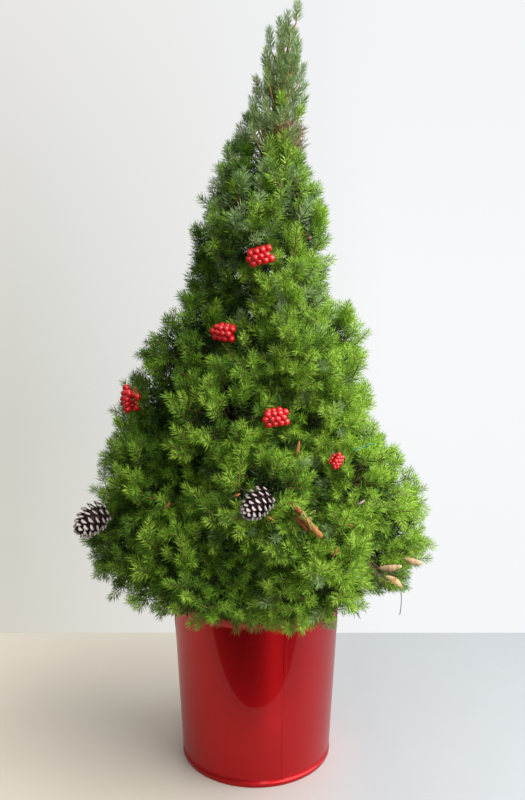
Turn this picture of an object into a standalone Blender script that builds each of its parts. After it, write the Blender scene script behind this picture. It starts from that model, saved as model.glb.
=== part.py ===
"""A dwarf Alberta spruce growing in a red tin pot, about a metre tall in all.

Metres, Z up. The origin is the middle of the pot's flat underside, and the side that is looked
at from the front faces -Y. The pot, its seam, the soil, the trunk, each bough and each mass of
needles are separate closed solids, 0.3 mm clear of each other.
"""
import math
import random
from collections import namedtuple

import bmesh
import bpy
from mathutils import Matrix, Vector, geometry

SEED = 41
CLEARANCE = 0.0003

# Pot, of sheet tin, with a rolled hoop at the foot and a rolled rim
FOOT_RADIUS = 0.100
POT_FLARE = 0.045  # growth of the radius for each metre of height
POT_HEIGHT = 0.240
POT_WALL = 0.0015
POT_FLOOR = 0.003
HOOP_HEIGHT = 0.008
HOOP_PROUD = 0.0022
RIM_HEIGHT = 0.007
RIM_PROUD = 0.0030
POT_STEPS = 48
BEAD_POINTS = 4
SEAM_ANGLE = math.radians(-70)
SEAM_WIDTH = 0.0042
SEAM_THICKNESS = 0.0009
SOIL_BELOW_RIM = 0.026
SOIL_CROWN = 0.004
SOIL_FLAT = 0.5  # share of the soil's radius that lies flat before it falls to the wall

# Trunk, straight for most of its height, with a tip that leans to the right
TRUNK_TOP = 0.885
TRUNK_LEAN = 0.034
TIP_LEAN = 0.005  # how much further over the tip of the crown leans
LEAN_POWER = 4.0
TRUNK_SWAY = 0.003
TRUNK_FOOT_RADIUS = 0.0125
TRUNK_TIP_RADIUS = 0.0016
ROOT_FLARE = 0.007
ROOT_FLARE_HEIGHT = 0.016
TRUNK_RINGS = 15
RING_CROWDING = 1.6  # packs the trunk's rings closer towards its flared foot

# Boughs
BOUGH_DROP = 0.42  # how far below its mass a bough leaves the trunk, as a share of its run
BOUGH_BOW = 0.07
BOUGH_ROOT_RADIUS = 0.0042
BOUGH_TIP_RADIUS = 0.0024
BOUGH_POINTS = 5
BOUGH_END = 0.80  # where a bough meets its mass, as a share of the mass's size

# Masses of needles
CROWN_UNDERSIDE = 0.226
SIZE_CHANCE = 0.06
HEIGHT_CHANCE = 0.007
CELL_GAP = 0.0030
TRUNK_ROOM = 0.004
STEM_DROP = 1.2  # how far below its mass a stem leaves the trunk, as a share of its run
STEM_REACH = 0.6  # how far a loose mass's stem goes on above its middle, as a share of its rise
TWIG_RADIUS = 0.0012
STEM_END_RADIUS = 0.0006

# Cores of the dense masses, as shares of a mass's own form and of the way to its walls
CORE_SHARE = 0.80
WALL_SHARE = 0.95
LEAST_CORE = 0.2
CORE_STEP_BACK = 0.9
CORE_SPACE = 0.0085
CORE_RUFFLE = 0.05
CORE_PEAKS = 16
CORE_PEAK = 0.12

# Sprays, each a slim cone with a few needles standing out of it
SPRAY_ROOT = 0.55  # how far from a dense mass's middle its sprays start, as a share of their tips
SHORTEST_SPRAY = 0.74
SPRAY_GIRTH = 0.0070
SPRAY_SWELL = 1.7  # how much stouter a spray is towards its tip than a plain cone
SPRAY_SPACE = 0.0045
SPRAY_CHECKS = 4
NEEDLE_LENGTH = 0.0105
NEEDLE_BAND = (0.46, 0.74)  # the stretch of a spray that needles stand out of
LOOSE_SPRAY = 0.80  # girth and needles of the loose masses' sprays, against the others'
OPEN_LIFT = 0.45  # how much the sprays of the loose masses turn upwards
OPEN_RISE = 1.3
OPEN_SHORTEST = 0.016
OPEN_HIGHEST = 0.85

# Tiers of the crown from the bottom up. Left and right are the crown's reach from the pot's
# axis at that height. Lobes is how many masses ring the trunk, turn is where the first one is,
# and lift is how steeply their shoots rise.
Tier = namedtuple("Tier", "name height size rise left right lobes turn lift sprays bough dense")
TIERS = (
    Tier("skirt", 0.302, 0.096, 1.00, 0.224, 0.239, 6, 0, 0.0, 22, True, True),
    Tier("low", 0.392, 0.091, 1.00, 0.226, 0.218, 6, 30, 0.2, 22, True, True),
    Tier("middle", 0.480, 0.080, 1.05, 0.178, 0.168, 5, 36, 0.4, 24, True, True),
    Tier("upper", 0.557, 0.075, 0.90, 0.143, 0.153, 4, 20, 0.5, 26, True, True),
    Tier("shoulder", 0.640, 0.060, 1.15, 0.094, 0.130, 3, 60, 0.7, 22, False, True),
    Tier("neck", 0.712, 0.053, 1.20, 0.100, 0.094, 3, 0, 0.9, 18, False, True),
    Tier("collar", 0.770, 0.037, 1.35, 0.058, 0.088, 3, 60, 1.6, 18, False, True),
    Tier("spire", 0.829, 0.030, 1.65, 0.014, 0.068, 2, 15, 1.6, 32, False, False),
    Tier("plume", 0.874, 0.028, 1.60, 0.001, 0.063, 2, 120, 2.0, 32, False, False),
)
TIP = Tier("tip", 0.920, 0.024, 2.00, 0.0, 0.0, 1, 0, 1.0, 16, False, False)

Mass = namedtuple("Mass", "name tier centre outward size index")
Limb = namedtuple("Limb", "points radii")


def clear_scene():
    for leftover in list(bpy.context.scene.objects):
        bpy.data.objects.remove(leftover, do_unlink=True)


def make_collection(name):
    group = bpy.data.collections.new(name)
    bpy.context.scene.collection.children.link(group)
    return group


def make_material(name, colour, roughness, metallic=0.0):
    material = bpy.data.materials.new(name)
    material.use_nodes = True
    shader = material.node_tree.nodes["Principled BSDF"]
    shader.inputs["Base Color"].default_value = (*colour, 1.0)
    shader.inputs["Roughness"].default_value = roughness
    shader.inputs["Metallic"].default_value = metallic
    material.diffuse_color = (*colour, 1.0)
    return material


def add_object(name, mesh, group, material=None):
    thing = bpy.data.objects.new(name, mesh)
    group.objects.link(thing)
    if material:
        mesh.materials.append(material)
    return thing


def hide_helper(thing):
    thing.hide_render = True
    thing.display_type = "WIRE"


def finished_mesh(thing):
    """The thing's mesh with its modifiers applied."""
    bpy.context.view_layer.update()
    graph = bpy.context.evaluated_depsgraph_get()
    return bpy.data.meshes.new_from_object(thing.evaluated_get(graph))


def remove_with_data(thing):
    data = thing.data
    bpy.data.objects.remove(thing, do_unlink=True)
    if isinstance(data, bpy.types.Curve):
        bpy.data.curves.remove(data)
    else:
        bpy.data.meshes.remove(data)


def weld(mesh, distance=1e-6):
    bm = bmesh.new()
    bm.from_mesh(mesh)
    bmesh.ops.remove_doubles(bm, verts=bm.verts, dist=distance)
    bmesh.ops.recalc_face_normals(bm, faces=bm.faces)
    bm.to_mesh(mesh)
    bm.free()


# Pot, seam and soil


def pot_radius(height):
    """Outer radius of the pot's wall at a height."""
    return FOOT_RADIUS + POT_FLARE * height


def bead(top, height, proud):
    """Points of a half-round roll on the outside of the wall, from its top down."""
    points = []
    for step in range(1, BEAD_POINTS + 1):
        angle = math.pi * step / (BEAD_POINTS + 1)
        level = top - height * (1 - math.cos(angle)) / 2
        points.append((pot_radius(level) + proud * math.sin(angle), level))
    return points


def turned(name, profile, group, material):
    """A solid turned about Z from a profile that runs down its outer side."""
    mesh = bpy.data.meshes.new(name)
    edges = [(at, at + 1) for at in range(len(profile) - 1)]
    mesh.from_pydata([(radius, 0.0, level) for radius, level in profile], edges, [])
    thing = add_object(name, mesh, group, material)
    screw = thing.modifiers.new("turn", "SCREW")
    screw.steps = screw.render_steps = POT_STEPS
    screw.use_merge_vertices = True
    screw.merge_threshold = 0.00001
    screw.use_smooth_shade = True


def make_pot(group, material):
    profile = [(0.0, POT_FLOOR), (pot_radius(POT_FLOOR) - POT_WALL, POT_FLOOR)]
    profile.append((pot_radius(POT_HEIGHT) - POT_WALL, POT_HEIGHT - POT_WALL))
    profile.append((pot_radius(POT_HEIGHT), POT_HEIGHT))
    profile += bead(POT_HEIGHT, RIM_HEIGHT, RIM_PROUD)
    profile.append((pot_radius(POT_HEIGHT - RIM_HEIGHT), POT_HEIGHT - RIM_HEIGHT))
    profile.append((pot_radius(HOOP_HEIGHT), HOOP_HEIGHT))
    profile += bead(HOOP_HEIGHT, HOOP_HEIGHT, HOOP_PROUD)
    profile += [(pot_radius(0.0), 0.0), (0.0, 0.0)]
    turned("pot", profile, group, material)


def make_soil(group, material):
    level = POT_HEIGHT - SOIL_BELOW_RIM
    floor = POT_FLOOR + CLEARANCE
    inset = POT_WALL + CLEARANCE
    profile = [(0.0, level), (pot_radius(level) * SOIL_FLAT, level)]
    profile.append((pot_radius(level) - inset, level - SOIL_CROWN))
    profile += [(pot_radius(floor) - inset, floor), (0.0, floor)]
    turned("soil", profile, group, material)


def make_seam(group, material):
    """The folded seam up the outside of the pot, between the hoop and the rim."""
    low = HOOP_HEIGHT + CLEARANCE
    high = POT_HEIGHT - RIM_HEIGHT - CLEARANCE
    middle = (low + high) / 2
    mesh = bpy.data.meshes.new("pot_seam")
    bm = bmesh.new()
    bmesh.ops.create_cube(bm, size=1.0)
    bmesh.ops.scale(bm, vec=(SEAM_THICKNESS, SEAM_WIDTH, high - low), verts=bm.verts)
    for vert in bm.verts:
        vert.co.x += POT_FLARE * vert.co.z
    stand_off = pot_radius(middle) + CLEARANCE + SEAM_THICKNESS / 2
    bmesh.ops.translate(bm, vec=(stand_off, 0.0, middle), verts=bm.verts)
    bmesh.ops.rotate(bm, cent=(0, 0, 0), matrix=Matrix.Rotation(SEAM_ANGLE, 3, "Z"), verts=bm.verts)
    bm.to_mesh(mesh)
    bm.free()
    add_object("pot_seam", mesh, group, material)


# Trunk and boughs


def trunk_foot():
    return POT_HEIGHT - SOIL_BELOW_RIM + CLEARANCE


def trunk_share(height):
    return (height - trunk_foot()) / (TRUNK_TOP - trunk_foot())


def trunk_point(height):
    """The middle of the trunk at a height."""
    share = min(max(trunk_share(height), 0.0), 1.0)
    sway = TRUNK_SWAY * (1 - math.cos(share * math.tau))
    return Vector((TRUNK_LEAN * share**LEAN_POWER, sway, height))


def trunk_radius(height):
    share = min(max(trunk_share(height), 0.0), 1.0)
    flare = ROOT_FLARE * math.exp(-(height - trunk_foot()) / ROOT_FLARE_HEIGHT)
    return TRUNK_FOOT_RADIUS + (TRUNK_TIP_RADIUS - TRUNK_FOOT_RADIUS) * share + flare


def trunk_limb(grown=0.0):
    """The trunk's middle line and radii, grown all round and at its top."""
    points, radii = [], []
    top = TRUNK_TOP + grown
    for ring in range(TRUNK_RINGS):
        share = (ring / (TRUNK_RINGS - 1)) ** RING_CROWDING
        height = trunk_foot() + (top - trunk_foot()) * share
        points.append(trunk_point(height))
        radii.append(trunk_radius(height) + grown)
    return Limb(points, radii)


def tube(name, limb, group, resolution, material=None):
    """A tapering limb, first a curve and then a closed mesh."""
    curve = bpy.data.curves.new(name, "CURVE")
    curve.dimensions = "3D"
    curve.bevel_depth = 1.0
    curve.bevel_resolution = resolution
    curve.use_fill_caps = True
    spline = curve.splines.new("POLY")
    spline.points.add(len(limb.points) - 1)
    for point, place, radius in zip(spline.points, limb.points, limb.radii):
        point.co = (*place, 1.0)
        point.radius = radius
    shape = bpy.data.objects.new(name + "_curve", curve)
    group.objects.link(shape)
    mesh = finished_mesh(shape)
    remove_with_data(shape)
    weld(mesh)
    mesh.shade_smooth()
    return add_object(name, mesh, group, material)


def bough_limb(mass):
    """A bough from the trunk's middle up to the near side of its mass, bowed downwards."""
    flat = Vector((mass.centre.x, mass.centre.y, 0.0)).length
    leaves_trunk = trunk_point(mass.centre.z - flat * BOUGH_DROP)
    way = (mass.centre - leaves_trunk).normalized()
    end = mass.centre - way * mass.size * BOUGH_END
    run = end - leaves_trunk
    points, radii = [], []
    for step in range(BOUGH_POINTS):
        share = step / (BOUGH_POINTS - 1)
        bow = BOUGH_BOW * run.length * math.sin(math.pi * share)
        points.append(leaves_trunk + run * share - Vector((0.0, 0.0, bow)))
        radii.append(BOUGH_ROOT_RADIUS + (BOUGH_TIP_RADIUS - BOUGH_ROOT_RADIUS) * share)
    return Limb(points, radii)


def cut_clear_of_trunk(thing, trunk_cutter):
    cut = thing.modifiers.new("clear of the trunk", "BOOLEAN")
    cut.operation = "DIFFERENCE"
    cut.object = trunk_cutter


def make_bough(mass, limb, group, material, trunk_cutter):
    bough = tube(mass.name.replace("needles", "bough"), limb, group, 1, material)
    cut_clear_of_trunk(bough, trunk_cutter)


# Where each mass of needles is, and the space that it keeps to


def plan_masses():
    dice = random.Random(SEED)
    masses = []
    for tier in TIERS:
        for lobe in range(tier.lobes):
            angle = math.radians(tier.turn + 360.0 * lobe / tier.lobes)
            size = tier.size * (1 + dice.uniform(-SIZE_CHANCE, SIZE_CHANCE))
            height = tier.height + dice.uniform(-HEIGHT_CHANCE, HEIGHT_CHANCE)
            name = f"needles_{tier.name}_{lobe + 1}"
            outward = Vector((math.cos(angle), math.sin(angle), 0.0))
            trunk = trunk_point(height)
            rightness = (1 + outward.x) / 2
            reach = (tier.right - trunk.x) * rightness + (tier.left + trunk.x) * (1 - rightness)
            centre = trunk + outward * (reach - size)
            masses.append(Mass(name, tier, centre, outward, size, len(masses)))
    over_trunk = trunk_point(TRUNK_TOP)
    centre = Vector((over_trunk.x + TIP_LEAN, over_trunk.y, TIP.height))
    masses.append(Mass("needles_tip", TIP, centre, Vector(), TIP.size, len(masses)))
    return masses


def cell_walls(mass, masses, bough):
    """Flat walls round a mass's space, each as an outward direction and how far off it is."""
    walls = []
    for other in masses:
        if other is mass:
            continue
        away = other.centre - mass.centre
        apart = away.length
        halfway = (apart**2 + mass.size**2 - other.size**2) / (2 * apart)
        walls.append((away / apart, halfway - CELL_GAP / 2))
    walls.append((Vector((0, 0, -1)), mass.centre.z - CROWN_UNDERSIDE))
    if bough:
        back = bough.points[-1] - mass.centre
        walls.append((back.normalized(), back.length - CELL_GAP))
    if mass.tier is TIP:
        walls.append((Vector((0, 0, -1)), mass.centre.z - TRUNK_TOP - TRUNK_ROOM))
    else:
        trunk = trunk_point(mass.centre.z)
        inwards = trunk - mass.centre
        room_inwards = inwards.length - trunk_radius(mass.centre.z) - TRUNK_ROOM
        walls.append((inwards.normalized(), room_inwards))
    return walls


def lobe_reach(mass, direction):
    """How far a mass's own rounded form goes from its centre in a direction."""
    flat = (direction.x**2 + direction.y**2) / mass.size**2
    tall = direction.z**2 / (mass.size * mass.tier.rise) ** 2
    return 1 / math.sqrt(flat + tall)


def wall_reach(walls, direction):
    """How far off the nearest wall of a mass's space is in a direction."""
    facing = [(outward.dot(direction), offset) for outward, offset in walls]
    return min((offset / along for along, offset in facing if along > 1e-6), default=1.0)


def space_to_walls(mass, walls, point):
    return min(offset - outward.dot(point - mass.centre) for outward, offset in walls)


def growth_directions(mass, count, dice):
    """Directions spread evenly over a sphere, the first of them the way that a mass's shoots grow."""
    growth = mass.outward + Vector((0, 0, mass.tier.lift))
    facing = growth.to_track_quat("Z", "Y")
    turn = dice.uniform(0, math.tau)
    golden = math.pi * (3 - math.sqrt(5))
    for at in range(count):
        level = 1 - 2 * at / count
        ring = math.sqrt(1 - level * level)
        angle = turn + golden * at
        yield facing @ Vector((ring * math.cos(angle), ring * math.sin(angle), level))


def distance_to_limb(point, limb):
    """Distance from a point to a limb's surface, less than nothing inside it."""
    nearest = 1.0
    for start, end, radius in zip(limb.points, limb.points[1:], limb.radii):
        along = geometry.intersect_point_line(point, start, end)[1]
        at = start.lerp(end, min(max(along, 0.0), 1.0))
        nearest = min(nearest, (point - at).length - radius)
    return nearest


def is_clear(point, limbs, space):
    """Whether a point stays clear of the pot, and this far from every limb."""
    over_pot = math.hypot(point.x, point.y) < pot_radius(POT_HEIGHT) + RIM_PROUD + space
    if over_pot and point.z < POT_HEIGHT + space:
        return False
    return all(distance_to_limb(point, limb) > space for limb in limbs)


def stoutness(mass):
    """Girth and needles of a mass's sprays, against those of the dense masses."""
    return 1.0 if mass.tier.dense else LOOSE_SPRAY


def spray_root(mass, stem, tip):
    """Where a spray starts, inside the core of a dense mass or on the stem of a loose one."""
    if mass.tier.dense:
        return mass.centre.lerp(tip, SPRAY_ROOT)
    sideways = math.hypot(tip.x - mass.centre.x, tip.y - mass.centre.y)
    height = tip.z - max(sideways * OPEN_RISE, OPEN_SHORTEST)
    low, high = stem.points[-2], stem.points[-1]
    share = (height - low.z) / (high.z - low.z)
    return low.lerp(high, min(max(share, 0.0), OPEN_HIGHEST))


def grow_sprays(mass, walls, stem, limbs, dice):
    """Root, tip and roll of each spray that fits in a mass's space."""
    sprays = []
    for direction in growth_directions(mass, mass.tier.sprays, dice):
        if not mass.tier.dense:
            direction = (direction + Vector((0, 0, OPEN_LIFT))).normalized()
        reach = min(lobe_reach(mass, direction), wall_reach(walls, direction))
        roll = dice.uniform(0, math.tau)
        if reach < SHORTEST_SPRAY * mass.size:
            continue
        tip = mass.centre + direction * reach
        root = spray_root(mass, stem, tip)
        needles = root.lerp(tip, NEEDLE_BAND[1])
        needle_room = NEEDLE_LENGTH * stoutness(mass)
        if space_to_walls(mass, walls, needles) < needle_room:
            continue
        if not is_clear(needles, limbs, needle_room + CLEARANCE):
            continue
        space = SPRAY_SPACE * stoutness(mass)
        shares = [step / SPRAY_CHECKS for step in range(1, SPRAY_CHECKS + 1)]
        if all(is_clear(root.lerp(tip, share), limbs, space) for share in shares):
            sprays.append((root, tip, roll))
    return sprays


# Solids of the masses


def spray_shape(root, tip, roll, stout):
    """A slim three-sided core with needles standing out of it, along the way from root to tip."""
    length = (tip - root).length
    girth = SPRAY_GIRTH * stout
    bm = bmesh.new()
    bmesh.ops.create_cone(bm, cap_ends=True, segments=3, radius1=girth, radius2=0.0, depth=length)
    bmesh.ops.translate(bm, vec=(0, 0, length / 2), verts=bm.verts)
    for share in NEEDLE_BAND:
        everything = bm.verts[:] + bm.edges[:] + bm.faces[:]
        bmesh.ops.bisect_plane(bm, geom=everything, plane_co=(0, 0, length * share), plane_no=(0, 0, 1))
    low, high = (length * share for share in NEEDLE_BAND)
    ring = [vert for vert in bm.verts if abs(vert.co.z - high) < 1e-5]
    bmesh.ops.scale(bm, vec=(SPRAY_SWELL, SPRAY_SWELL, 1.0), verts=ring)
    sides = [face for face in bm.faces if low < face.calc_center_median().z < high]
    poked = bmesh.ops.poke(bm, faces=sides)
    for vert in poked["verts"]:
        outward = Vector((vert.co.x, vert.co.y, 0.0)).normalized()
        vert.co = outward * NEEDLE_LENGTH * stout + Vector((0, 0, high))
    turn = (tip - root).to_track_quat("Z", "Y").to_matrix().to_4x4()
    place = Matrix.Translation(root) @ turn @ Matrix.Rotation(roll, 4, "Z")
    bmesh.ops.transform(bm, matrix=place, verts=bm.verts)
    return bm


def core_shape(mass, walls, limbs, dice):
    """The ruffled heart of a dense mass, well inside its form and just inside its walls."""
    bm = bmesh.new()
    bmesh.ops.create_icosphere(bm, subdivisions=2, radius=1.0)
    peaks = bmesh.ops.poke(bm, faces=dice.sample(bm.faces[:], CORE_PEAKS))["verts"]
    for vert in bm.verts:
        direction = vert.co.normalized()
        ruffle = 1 + dice.uniform(-CORE_RUFFLE, CORE_RUFFLE) + (CORE_PEAK if vert in peaks else 0)
        lobe = lobe_reach(mass, direction) * CORE_SHARE * ruffle
        reach = min(lobe, wall_reach(walls, direction) * WALL_SHARE)
        while reach > LEAST_CORE * mass.size:
            if is_clear(mass.centre + direction * reach, limbs, CORE_SPACE):
                break
            reach *= CORE_STEP_BACK
        vert.co = mass.centre + direction * reach
    return bm


def stem_limb(mass, bough):
    """The stem of a mass, from its bough's tip or the trunk to its middle, or on to its top."""
    foot_radius = BOUGH_TIP_RADIUS
    if bough:
        way = (bough.points[-1] - bough.points[-2]).normalized()
        start = bough.points[-1] + way * CLEARANCE
    elif mass.tier is TIP:
        start = trunk_point(TRUNK_TOP) + Vector((0, 0, CLEARANCE))
        foot_radius = TRUNK_TIP_RADIUS
    else:
        run = (mass.centre - trunk_point(mass.centre.z)).length
        start = trunk_point(mass.centre.z - run * STEM_DROP)
    if mass.tier.dense:
        return Limb([start, mass.centre], [foot_radius, TWIG_RADIUS])
    top = mass.centre + Vector((0, 0, mass.size * mass.tier.rise * STEM_REACH))
    return Limb([start, mass.centre, top], [foot_radius, TWIG_RADIUS, STEM_END_RADIUS])


def biggest_shell(mesh):
    """Keeps the largest closed shell, so that sealed hollows fill and loose scraps go."""
    bm = bmesh.new()
    bm.from_mesh(mesh)
    bmesh.ops.remove_doubles(bm, verts=bm.verts, dist=1e-6)
    left = set(bm.faces)
    shells = []
    while left:
        shell = []
        waiting = [left.pop()]
        while waiting:
            face = waiting.pop()
            shell.append(face)
            for edge in face.edges:
                for near in edge.link_faces:
                    if near in left:
                        left.remove(near)
                        waiting.append(near)
        shells.append(shell)
    shells.sort(key=len)
    scraps = [face for shell in shells[:-1] for face in shell]
    bmesh.ops.delete(bm, geom=scraps, context="FACES")
    bm.to_mesh(mesh)
    bm.free()


def fuse(name, base, helpers, group, material, trunk_cutter=None):
    """One Boolean union of the base with every shape in the helpers' collection."""
    join = base.modifiers.new("join", "BOOLEAN")
    join.operation = "UNION"
    join.operand_type = "COLLECTION"
    join.collection = helpers
    if trunk_cutter:
        cut_clear_of_trunk(base, trunk_cutter)
    mesh = finished_mesh(base)
    for helper in list(helpers.objects):
        remove_with_data(helper)
    remove_with_data(base)
    biggest_shell(mesh)
    mesh.name = name
    mesh.materials.clear()
    add_object(name, mesh, group, material)


def make_mass(mass, walls, limbs, stem, group, helpers, material, trunk_cutter):
    dice = random.Random(SEED + mass.index)
    sprays = grow_sprays(mass, walls, stem, limbs, dice)
    workshop = bpy.context.scene.collection
    if mass.tier.dense:
        core = bpy.data.meshes.new(mass.name)
        shape = core_shape(mass, walls, limbs, dice)
        shape.to_mesh(core)
        shape.free()
        base = add_object(mass.name + "_base", core, workshop)
        tube("stem", stem, helpers, 0)
    else:
        base = tube(mass.name + "_base", stem, workshop, 0)
    for root, tip, roll in sprays:
        shape = spray_shape(root, tip, roll, stoutness(mass))
        mesh = bpy.data.meshes.new("spray")
        shape.to_mesh(mesh)
        shape.free()
        add_object("spray", mesh, helpers)
    on_trunk = not mass.tier.bough and mass.tier is not TIP
    fuse(mass.name, base, helpers, group, material, trunk_cutter if on_trunk else None)


def main():
    clear_scene()
    tree = make_collection("potted_spruce")
    cutters = make_collection("cutters")
    helpers = make_collection("helpers")
    red = make_material("red_lacquer", (0.42, 0.012, 0.020), 0.16, 0.9)
    red_seam = make_material("red_seam", (0.36, 0.010, 0.018), 0.20, 0.9)
    earth = make_material("potting_soil", (0.030, 0.019, 0.012), 0.95)
    bark = make_material("bark", (0.120, 0.065, 0.036), 0.90)
    green = make_material("needles", (0.070, 0.160, 0.018), 0.60)

    make_pot(tree, red)
    make_seam(tree, red_seam)
    make_soil(tree, earth)

    trunk = trunk_limb()
    tube("trunk", trunk, tree, 3, bark)
    trunk_cutter = tube("trunk_cutter", trunk_limb(CLEARANCE), cutters, 3)
    hide_helper(trunk_cutter)

    masses = plan_masses()
    boughs = {mass.name: bough_limb(mass) for mass in masses if mass.tier.bough}
    stems = {mass.name: stem_limb(mass, boughs.get(mass.name)) for mass in masses}
    for mass in masses:
        bough = boughs.get(mass.name)
        walls = cell_walls(mass, masses, bough)
        others = [stem for name, stem in stems.items() if name != mass.name]
        limbs = [trunk, *boughs.values(), *others]
        make_mass(mass, walls, limbs, stems[mass.name], tree, helpers, green, trunk_cutter)
        if bough:
            make_bough(mass, bough, tree, bark, trunk_cutter)
    bpy.data.collections.remove(helpers)


main()
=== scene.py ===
"""The visual model of a dwarf spruce in a red tin pot, trimmed with berries, cones and cinnamon.

Metres, Z up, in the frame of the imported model. The crown grows again from the trunk and boughs by
the rule of the part's own source, one step finer: sprays branch into shoots, which carry needles.
"""

import math
import random
from collections import namedtuple
from functools import partial

import bmesh
import bpy
import numpy as np
from bmesh.types import BMEdge, BMFace, BMVert
from bpy.props import FloatProperty, FloatVectorProperty, IntProperty, PointerProperty
from bpy.types import Operator, Panel, PropertyGroup
from mathutils import Matrix, Vector, noise


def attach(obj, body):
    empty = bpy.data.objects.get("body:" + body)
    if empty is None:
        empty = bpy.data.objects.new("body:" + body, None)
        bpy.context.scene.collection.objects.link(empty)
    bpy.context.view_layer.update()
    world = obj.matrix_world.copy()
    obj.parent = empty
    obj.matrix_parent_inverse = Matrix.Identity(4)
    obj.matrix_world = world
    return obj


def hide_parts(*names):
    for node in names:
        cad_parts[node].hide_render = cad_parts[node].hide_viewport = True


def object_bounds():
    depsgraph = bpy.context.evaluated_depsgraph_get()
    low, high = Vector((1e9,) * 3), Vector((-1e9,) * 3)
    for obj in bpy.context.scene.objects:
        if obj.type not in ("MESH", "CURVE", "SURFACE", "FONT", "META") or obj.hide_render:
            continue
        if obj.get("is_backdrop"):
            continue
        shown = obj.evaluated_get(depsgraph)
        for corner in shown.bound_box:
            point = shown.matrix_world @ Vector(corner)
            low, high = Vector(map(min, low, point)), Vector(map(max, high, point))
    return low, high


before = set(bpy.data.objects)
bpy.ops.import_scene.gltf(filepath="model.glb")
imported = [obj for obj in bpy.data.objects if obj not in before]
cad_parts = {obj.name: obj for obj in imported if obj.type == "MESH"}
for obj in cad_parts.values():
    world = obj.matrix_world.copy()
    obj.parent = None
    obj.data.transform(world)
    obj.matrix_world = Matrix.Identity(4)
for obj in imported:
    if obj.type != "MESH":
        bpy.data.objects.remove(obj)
CAD_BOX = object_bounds()

bl_info = {
    "name": "Potted Dwarf Spruce",
    "version": (1, 0, 0),
    "blender": (4, 5, 0),
    "location": "3D View > Sidebar > Spruce",
    "description": "Grows a small trimmed spruce in a red tin pot over its packed solids",
    "category": "Object",
}

ROOT = "root"
CLEARANCE = 0.0003
GOLDEN_ANGLE = math.pi * (3 - math.sqrt(5))

# Pot and soil, as in the part's source
FOOT_RADIUS = 0.100
POT_FLARE = 0.045
POT_HEIGHT = 0.240
POT_WALL = 0.0015
POT_FLOOR = 0.003
HOOP_HEIGHT = 0.008
HOOP_PROUD = 0.0022 * 0.25  # a quarter of the solid's
RIM_HEIGHT = 0.007
RIM_PROUD = 0.0030
SEAM_ANGLE = math.radians(-70)
SEAM_WIDTH = 0.0042
SEAM_THICKNESS = 0.0009
SOIL_LEVEL = POT_HEIGHT - 0.026
SOIL_CROWN = 0.004

# Trunk and boughs, as in the part's source
TRUNK_FOOT = SOIL_LEVEL + CLEARANCE
TRUNK_TOP = 0.885
TRUNK_LEAN = 0.034
TIP_LEAN = 0.005
LEAN_POWER = 4.0
TRUNK_SWAY = 0.003
TRUNK_FOOT_RADIUS = 0.0125
TRUNK_TIP_RADIUS = 0.0016
ROOT_FLARE = 0.007
ROOT_FLARE_HEIGHT = 0.016
BOUGH_DROP = 0.42
BOUGH_BOW = 0.07
BOUGH_ROOT_RADIUS = 0.0042
BOUGH_TIP_RADIUS = 0.0024
BOUGH_POINTS = 5
BOUGH_END = 0.80

# Masses of needles, as in the part's source
SEED = 41
CROWN_UNDERSIDE = 0.226
SIZE_CHANCE = 0.06
HEIGHT_CHANCE = 0.007
CELL_GAP = 0.0030
TRUNK_ROOM = 0.004
STEM_DROP = 1.2
STEM_REACH = 0.6
TWIG_RADIUS = 0.0012
STEM_END_RADIUS = 0.0006
SPRAY_ROOT = 0.55

Tier = namedtuple("Tier", "name height size rise left right lobes turn lift bough dense upright")
TIERS = (
    Tier("skirt", 0.302, 0.096, 1.00, 0.224, 0.239, 6, 0, 0.0, True, True, 0.30),
    Tier("low", 0.392, 0.091, 1.00, 0.226, 0.218, 6, 30, 0.2, True, True, 0.45),
    Tier("middle", 0.480, 0.080, 1.05, 0.178, 0.168, 5, 36, 0.4, True, True, 0.60),
    Tier("upper", 0.557, 0.075, 0.90, 0.143, 0.153, 4, 20, 0.5, True, True, 0.75),
    Tier("shoulder", 0.640, 0.060, 1.15, 0.094, 0.130, 3, 60, 0.7, False, True, 0.95),
    Tier("neck", 0.712, 0.053, 1.20, 0.100, 0.094, 3, 0, 0.9, False, True, 1.1),
    Tier("collar", 0.770, 0.037, 1.35, 0.058, 0.088, 3, 60, 1.6, False, True, 1.4),
    Tier("spire", 0.829, 0.030, 1.65, 0.014, 0.068, 2, 15, 1.6, False, False, 1.6),
    Tier("plume", 0.874, 0.028, 1.60, 0.001, 0.063, 2, 120, 2.0, False, False, 1.8),
)
TIP = Tier("tip", 0.920, 0.024, 2.00, 0.0, 0.0, 1, 0, 1.0, False, False, 2.0)
MUTED_SHARE = {"collar": 0.42, "neck": 0.40, "shoulder": 0.16}

Mass = namedtuple("Mass", "name tier centre outward size index")
Limb = namedtuple("Limb", "points radii")
Shoot = namedtuple("Shoot", "start end tint plump narrow")
Rod = namedtuple("Rod", "start end start_radius end_radius tint")

# Finer growth, which only the visual model has
SPRAY_AREA = 0.00019  # square metres of a mass's size squared for each spray tried
FEWEST_SPRAYS = 26
SHORTEST_SPRAY = 0.50
INWARD_LIMIT = -0.45  # sprays that grow further inwards than this are left out
WALL_OVERRUN = 0.009
CLUMP_DEPTH = 0.42
CLUMP_SIZE = 0.046
LEADER_LENGTH = 0.038
SIDE_LENGTH = (0.024, 0.034)
SIDE_SHOOTS = 7
SIDE_BAND = (0.02, 0.68)  # the stretch of a spray that side shoots leave
SIDE_SPLAY = math.radians(50)
SHOOT_ROOM = 0.007
INNER_AREA = 0.00008
CANDLE_LENGTH = (0.019, 0.028)
CANDLE_PLUMP = 1.16
CANDLE_APART = 0.013
CANDLE_LIFT = 0.225
CANDLE_SPACE = 0.00010  # square metres of a loose mass's size squared for each candle
CANDLE_FOOT = 0.805  # the height below which the spire's shoots are like the crown's
CANDLE_RISE = 0.060  # the height in which they turn into blunt upright ones
TWIG_DROP = 0.012
TWIG_RISE = 1.3
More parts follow.
